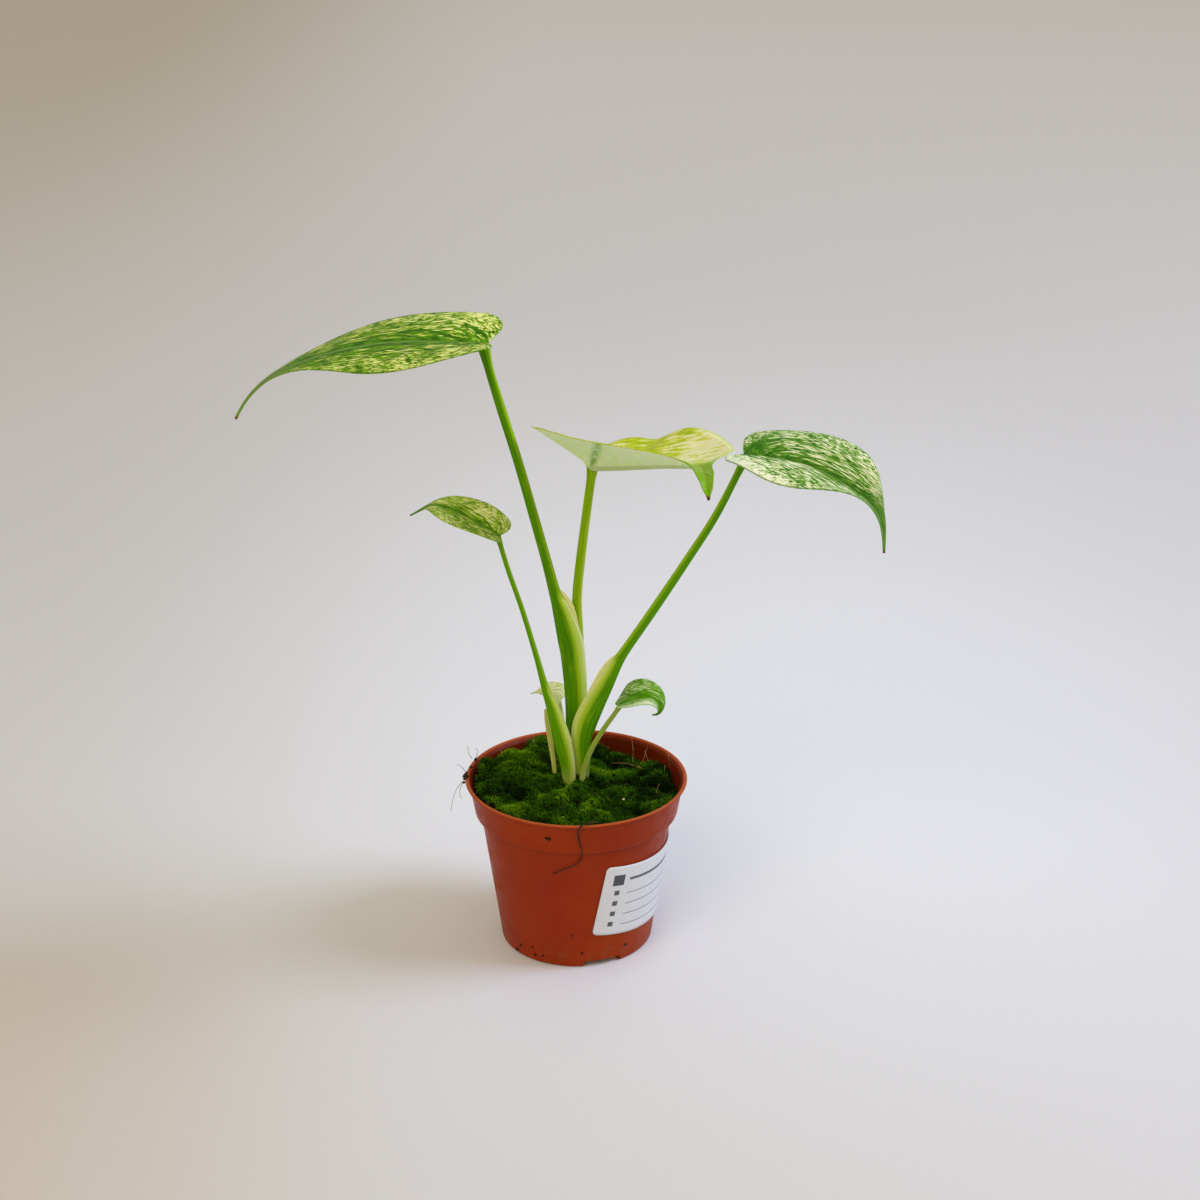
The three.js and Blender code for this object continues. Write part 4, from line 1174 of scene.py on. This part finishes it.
def moss_shoots(seed):
    """Small upright shoots, each with a few narrow leaves round it."""
    chance = np.random.default_rng(seed)
    x, y = shoot_places(chance, SHOOTS_IN_A_PIECE)
    axis = shoot_axes(chance, x, y)
    side = unit(np.cross(axis, [0.3, 1, 0.2]))
    other = np.cross(axis, side)
    root = np.stack([x, y, moss_height(x, y) - 0.3], axis=-1)
    tall = 1.1 + 1.9 * chance.random(len(x)) * lattice(x, y, 5, 9)
    # A shoot's tone is partly its own varied colour and partly painted light and shade: lighter on
    # the mound tops, darker in the hollows and in broad shaded patches.
    lit_mound_tops = lattice(x, y, *MOSS_MOUNDS[0][1:])
    clumps = 0.5 * lattice(x, y, 3.5, 8) + 0.65 * lit_mound_tops
    shade = 0.8 * (lattice(x, y, 13, 17) - 0.5)
    tone_and_shade = np.clip(clumps + shade - 0.15 + 0.25 * chance.random(len(x)), 0, 1)

    leaves = []
    for i in range(SHOOT_LEAVES):
        turn = 2 * np.pi * (i / SHOOT_LEAVES + 0.3 * chance.random(len(x)))
        out = side * np.cos(turn)[:, None] + other * np.sin(turn)[:, None]
        level = tall * (0.35 + 0.65 * i / SHOOT_LEAVES)
        length = 0.9 + 0.5 * chance.random(len(x))
        start = root + axis * (level * 0.5)[:, None]
        tip = root + axis * (level + 0.55 * length)[:, None] + out * (0.8 * length)[:, None]
        belly = (start + tip) / 2 + axis * 0.12 + out * 0.05
        half = np.cross(axis, out) * (0.13 + 0.05 * chance.random(len(x)))[:, None]
        leaves.append(np.stack([start, belly - half, tip, belly + half], axis=1))
    points = np.stack(leaves, axis=1)
    tips = np.broadcast_to([0.0, 0.55, 1.0, 0.55], points.shape[:3])
    tones_and_shade = np.broadcast_to(tone_and_shade[:, None, None], points.shape[:3])
    faces = np.arange(points.size // 3).reshape(-1, 4)
    return points.reshape(-1, 3), faces, point_layer(tips, tones_and_shade)


def moss_leaf():
    nodes = Nodes("moss_leaf", roughness=0.7, specular=0.05)
    tip, tone_and_shade = nodes.pair("shoot")
    # Painted shade: each small leaf is near black at its foot, deep in the moss, and lighter
    # towards its tip.
    low = nodes.mix(tone_and_shade, "#030600", "#0d1a00")
    high = nodes.tinted("#132800", "#447800", tone_and_shade, 0.15, 0.85)
    high = nodes.tinted(high, "#80b006", tone_and_shade, 0.75, 1.0, 0.7)
    return nodes.finished(nodes.tinted(low, high, tip, 0.1, 1.0))


def make_moss_shoots():
    material = moss_leaf()
    for part, seed in SHOOT_SEEDS.items():
        points, faces, shoot = moss_shoots(seed)
        new_piece(f"moss_shoots_{part}", points, faces, [material], "moss_cushion",
                  uvs={"shoot": shoot})


# Small things that came with the plant


def thread(path, thick, thin, steps=40):
    """A thin tube along a smooth path, with its own slight unevenness."""
    t = np.linspace(0, 1, steps)
    middle = along(path, t)
    forward = unit(np.gradient(middle, axis=0))
    across = unit(np.cross(forward, [0.37, 0.81, 0.45]))
    deep = np.cross(forward, across)
    radius = between(t, 0, thick, 1, thin) * (0.85 + 0.3 * lattice(t * steps, 0 * t, 3, 5))
    return closed_tube(rings_round(middle, across, deep, radius, radius, turns(8)))


def lumps(places, flat=0.8):
    """Small uneven grains or clods, each with its place and radius."""
    rise = np.linspace(-np.pi / 2 + 0.05, np.pi / 2 - 0.05, 12)[:, None]
    turn = turns(18)
    shapes = []
    for seed, (x, y, z, radius) in enumerate(places):
        uneven = lattice(3 * np.cos(turn) + 0 * rise, 3 * np.sin(turn) + 5 * rise, 1.0, seed)
        reach = radius * (0.7 + 0.6 * uneven)
        rings = polar(reach * np.cos(rise), turn, flat * reach * np.sin(rise))
        shapes.append(closed_tube(rings + [x, y, z]))
    return shapes


def plain_material(name, dark, light, grain_scale):
    """Two tones in irregular patches, with a grain to match."""
    nodes = Nodes(name, roughness=0.8, specular=0.25)
    grain = nodes.noise(nodes.place(), grain_scale, detail=4)
    return nodes.finished(nodes.tinted(dark, light, grain, 0.38, 0.65), grain, 0.2, 0.6)


def make_small_things():
    root_skin = plain_material("root_skin", "#1d120b", "#4a3222", 900)
    crumb = plain_material("clod", "#120b07", "#3d2818", 1200)
    hair = plain_material("moss_hair", "#7d6a3c", "#b9a671", 600)
    straw = plain_material("straw", "#5f4a25", "#937a45", 900)
    grit = plain_material("grit", "#b79a5f", "#e6d3a0", 1500)
    rim_hairs = [thread(path, 0.1, 0.06) for path in RIM_HAIRS]
    moss_hairs = [thread(path, 0.11, 0.08) for path in MOSS_HAIRS]
    straws = [thread(path, 0.24, 0.14) for path in STRAWS]
    pieces = [
        ("fallen_root", [thread(FALLEN_ROOT, 0.34, 0.2, steps=110)], root_skin, "potting_mix"),
        ("rim_clump", lumps(RIM_CLUMP), crumb, "potting_mix"),
        ("rim_hairs", rim_hairs, root_skin, "potting_mix"),
        ("moss_hairs", moss_hairs, hair, "moss_cushion"),
        ("straws", straws, straw, "dry_skin"),
        ("grit_grains", lumps(GRIT), grit, "potting_mix"),
        ("pot_dirt", lumps(POT_DIRT, flat=0.9), crumb, "potting_mix"),
    ]
    for name, shapes, material, slot in pieces:
        new_piece(name, *joined(shapes), [material], slot)


# CAD nodes that keep their own shape


def potting_mix():
    nodes = Nodes("potting_mix", roughness=0.95, specular=0.2)
    crumbs = nodes.cells(nodes.place(), 500)
    return nodes.finished(nodes.tinted("#2a1a10", "#120b07", crumbs, 0.2, 0.7), crumbs, 1.0, 0.8)


def crown_skin():
    nodes = Nodes("crown_skin", roughness=0.6)
    place = nodes.place()
    lines = nodes.noise(place, (900, 900, 120), detail=3)
    pale = nodes.tinted("#8f9a55", "#b9bd80", lines, 0.35, 0.65)
    in_soil = nodes.rising(nodes.parts(place)[2], MOSS_LEVEL * MM, (MOSS_LEVEL - 4) * MM)
    return nodes.finished(nodes.mix(in_soil, pale, "#6b4a2c"), lines, 0.2, 0.5)


def finish_kept_nodes():
    for node_name, material in (("soil", potting_mix()), ("stem_base", crown_skin())):
        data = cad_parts[node_name].data
        data.materials.clear()
        data.materials.append(material)


# The floor, the lights and the camera


def floor_surface():
    nodes = Nodes("floor_surface", roughness=0.6, specular=0.3)
    place = nodes.place()
    across, depth = nodes.parts(place)[:2]
    near = nodes.mix(nodes.noise(place, 3), "#c8cacd", "#cdced0")
    # Painted shade: the far floor grows darker and warmer towards the left.
    far_and_left_shade = nodes.tinted("#e0e2ea", "#c4beb2", across, -0.05, -0.6)
    ground = nodes.tinted(near, far_and_left_shade, depth, 0.1, 2.2)
    # Painted light: a brighter pool on the floor, round and to the right of the pot.
    light_pool_depth = nodes.times(nodes.rising(depth, -0.25, 0.12), nodes.rising(depth, 1.1, 0.2))
    light_pool_width = nodes.times(nodes.rising(across, -0.3, 0.0), nodes.rising(across, 0.45, 0.08))
    ground = nodes.mix(nodes.times(light_pool_depth, light_pool_width), ground, "#dfe4ec")
    # Painted shadow: the floor near the pot's left is darker and warmer.
    painted_shadow_near_left = nodes.times(nodes.rising(depth, 0.05, -0.06), nodes.rising(across, -0.02, -0.25))
    return nodes.finished(nodes.mix(painted_shadow_near_left, ground, "#c1bbb0"))


def make_floor():
    mesh = bpy.data.meshes.new("floor")
    corners = [(-1, -1), (1, -1), (1, 1), (-1, 1)]
    mesh.from_pydata([(FLOOR_REACH * x, FLOOR_REACH * y, 0) for x, y in corners], [],
                     [(0, 1, 2, 3)])
    mesh.materials.append(floor_surface())
    add_object("floor", mesh)


def add_area_light(name, place, width, power, tint):
    light = bpy.data.lights.new(name, "AREA")
    light.shape = "DISK"
    light.size = width
    light.energy = power
    light.color = colour(tint)[:3]
    lamp = add_object(name, light)
    lamp.location = place
    way = np.array(LIGHT_TARGET) - np.array(place)
    lamp.rotation_euler = (math.atan2(math.hypot(way[0], way[1]), -way[2]), 0,
                           math.atan2(way[1], way[0]) - math.pi / 2)


def light_the_scene():
    for name, settings in LIGHTS.items():
        add_area_light(name, *settings)
    world = bpy.data.worlds.new("room")
    world.use_nodes = True
    background = world.node_tree.nodes["Background"]
    background.inputs["Color"].default_value = colour(ROOM_TINT)
    background.inputs["Strength"].default_value = ROOM_LIGHT
    bpy.context.scene.world = world
    bpy.context.scene.view_settings.view_transform = "Standard"


def place_camera():
    camera = bpy.data.cameras.new("camera")
    camera.lens = CAMERA_LENS
    camera.sensor_width = SENSOR_WIDTH
    holder = add_object("camera", camera)
    holder.location = CAMERA_PLACE
    holder.rotation_euler = (math.radians(CAMERA_TILT), 0, 0)
    bpy.context.scene.camera = holder


place_camera()
make_pot()
make_label()
finish_kept_nodes()
make_moss()
make_moss_shoots()
for stalk_name in STALKS:
    make_stalk(stalk_name)
for sheath_name in SHEATHS:
    make_sheath_margin(sheath_name)
make_dry_sheath()
make_small_things()
for blade_name in BLADES:
    make_blade(blade_name)
make_floor()
light_the_scene()
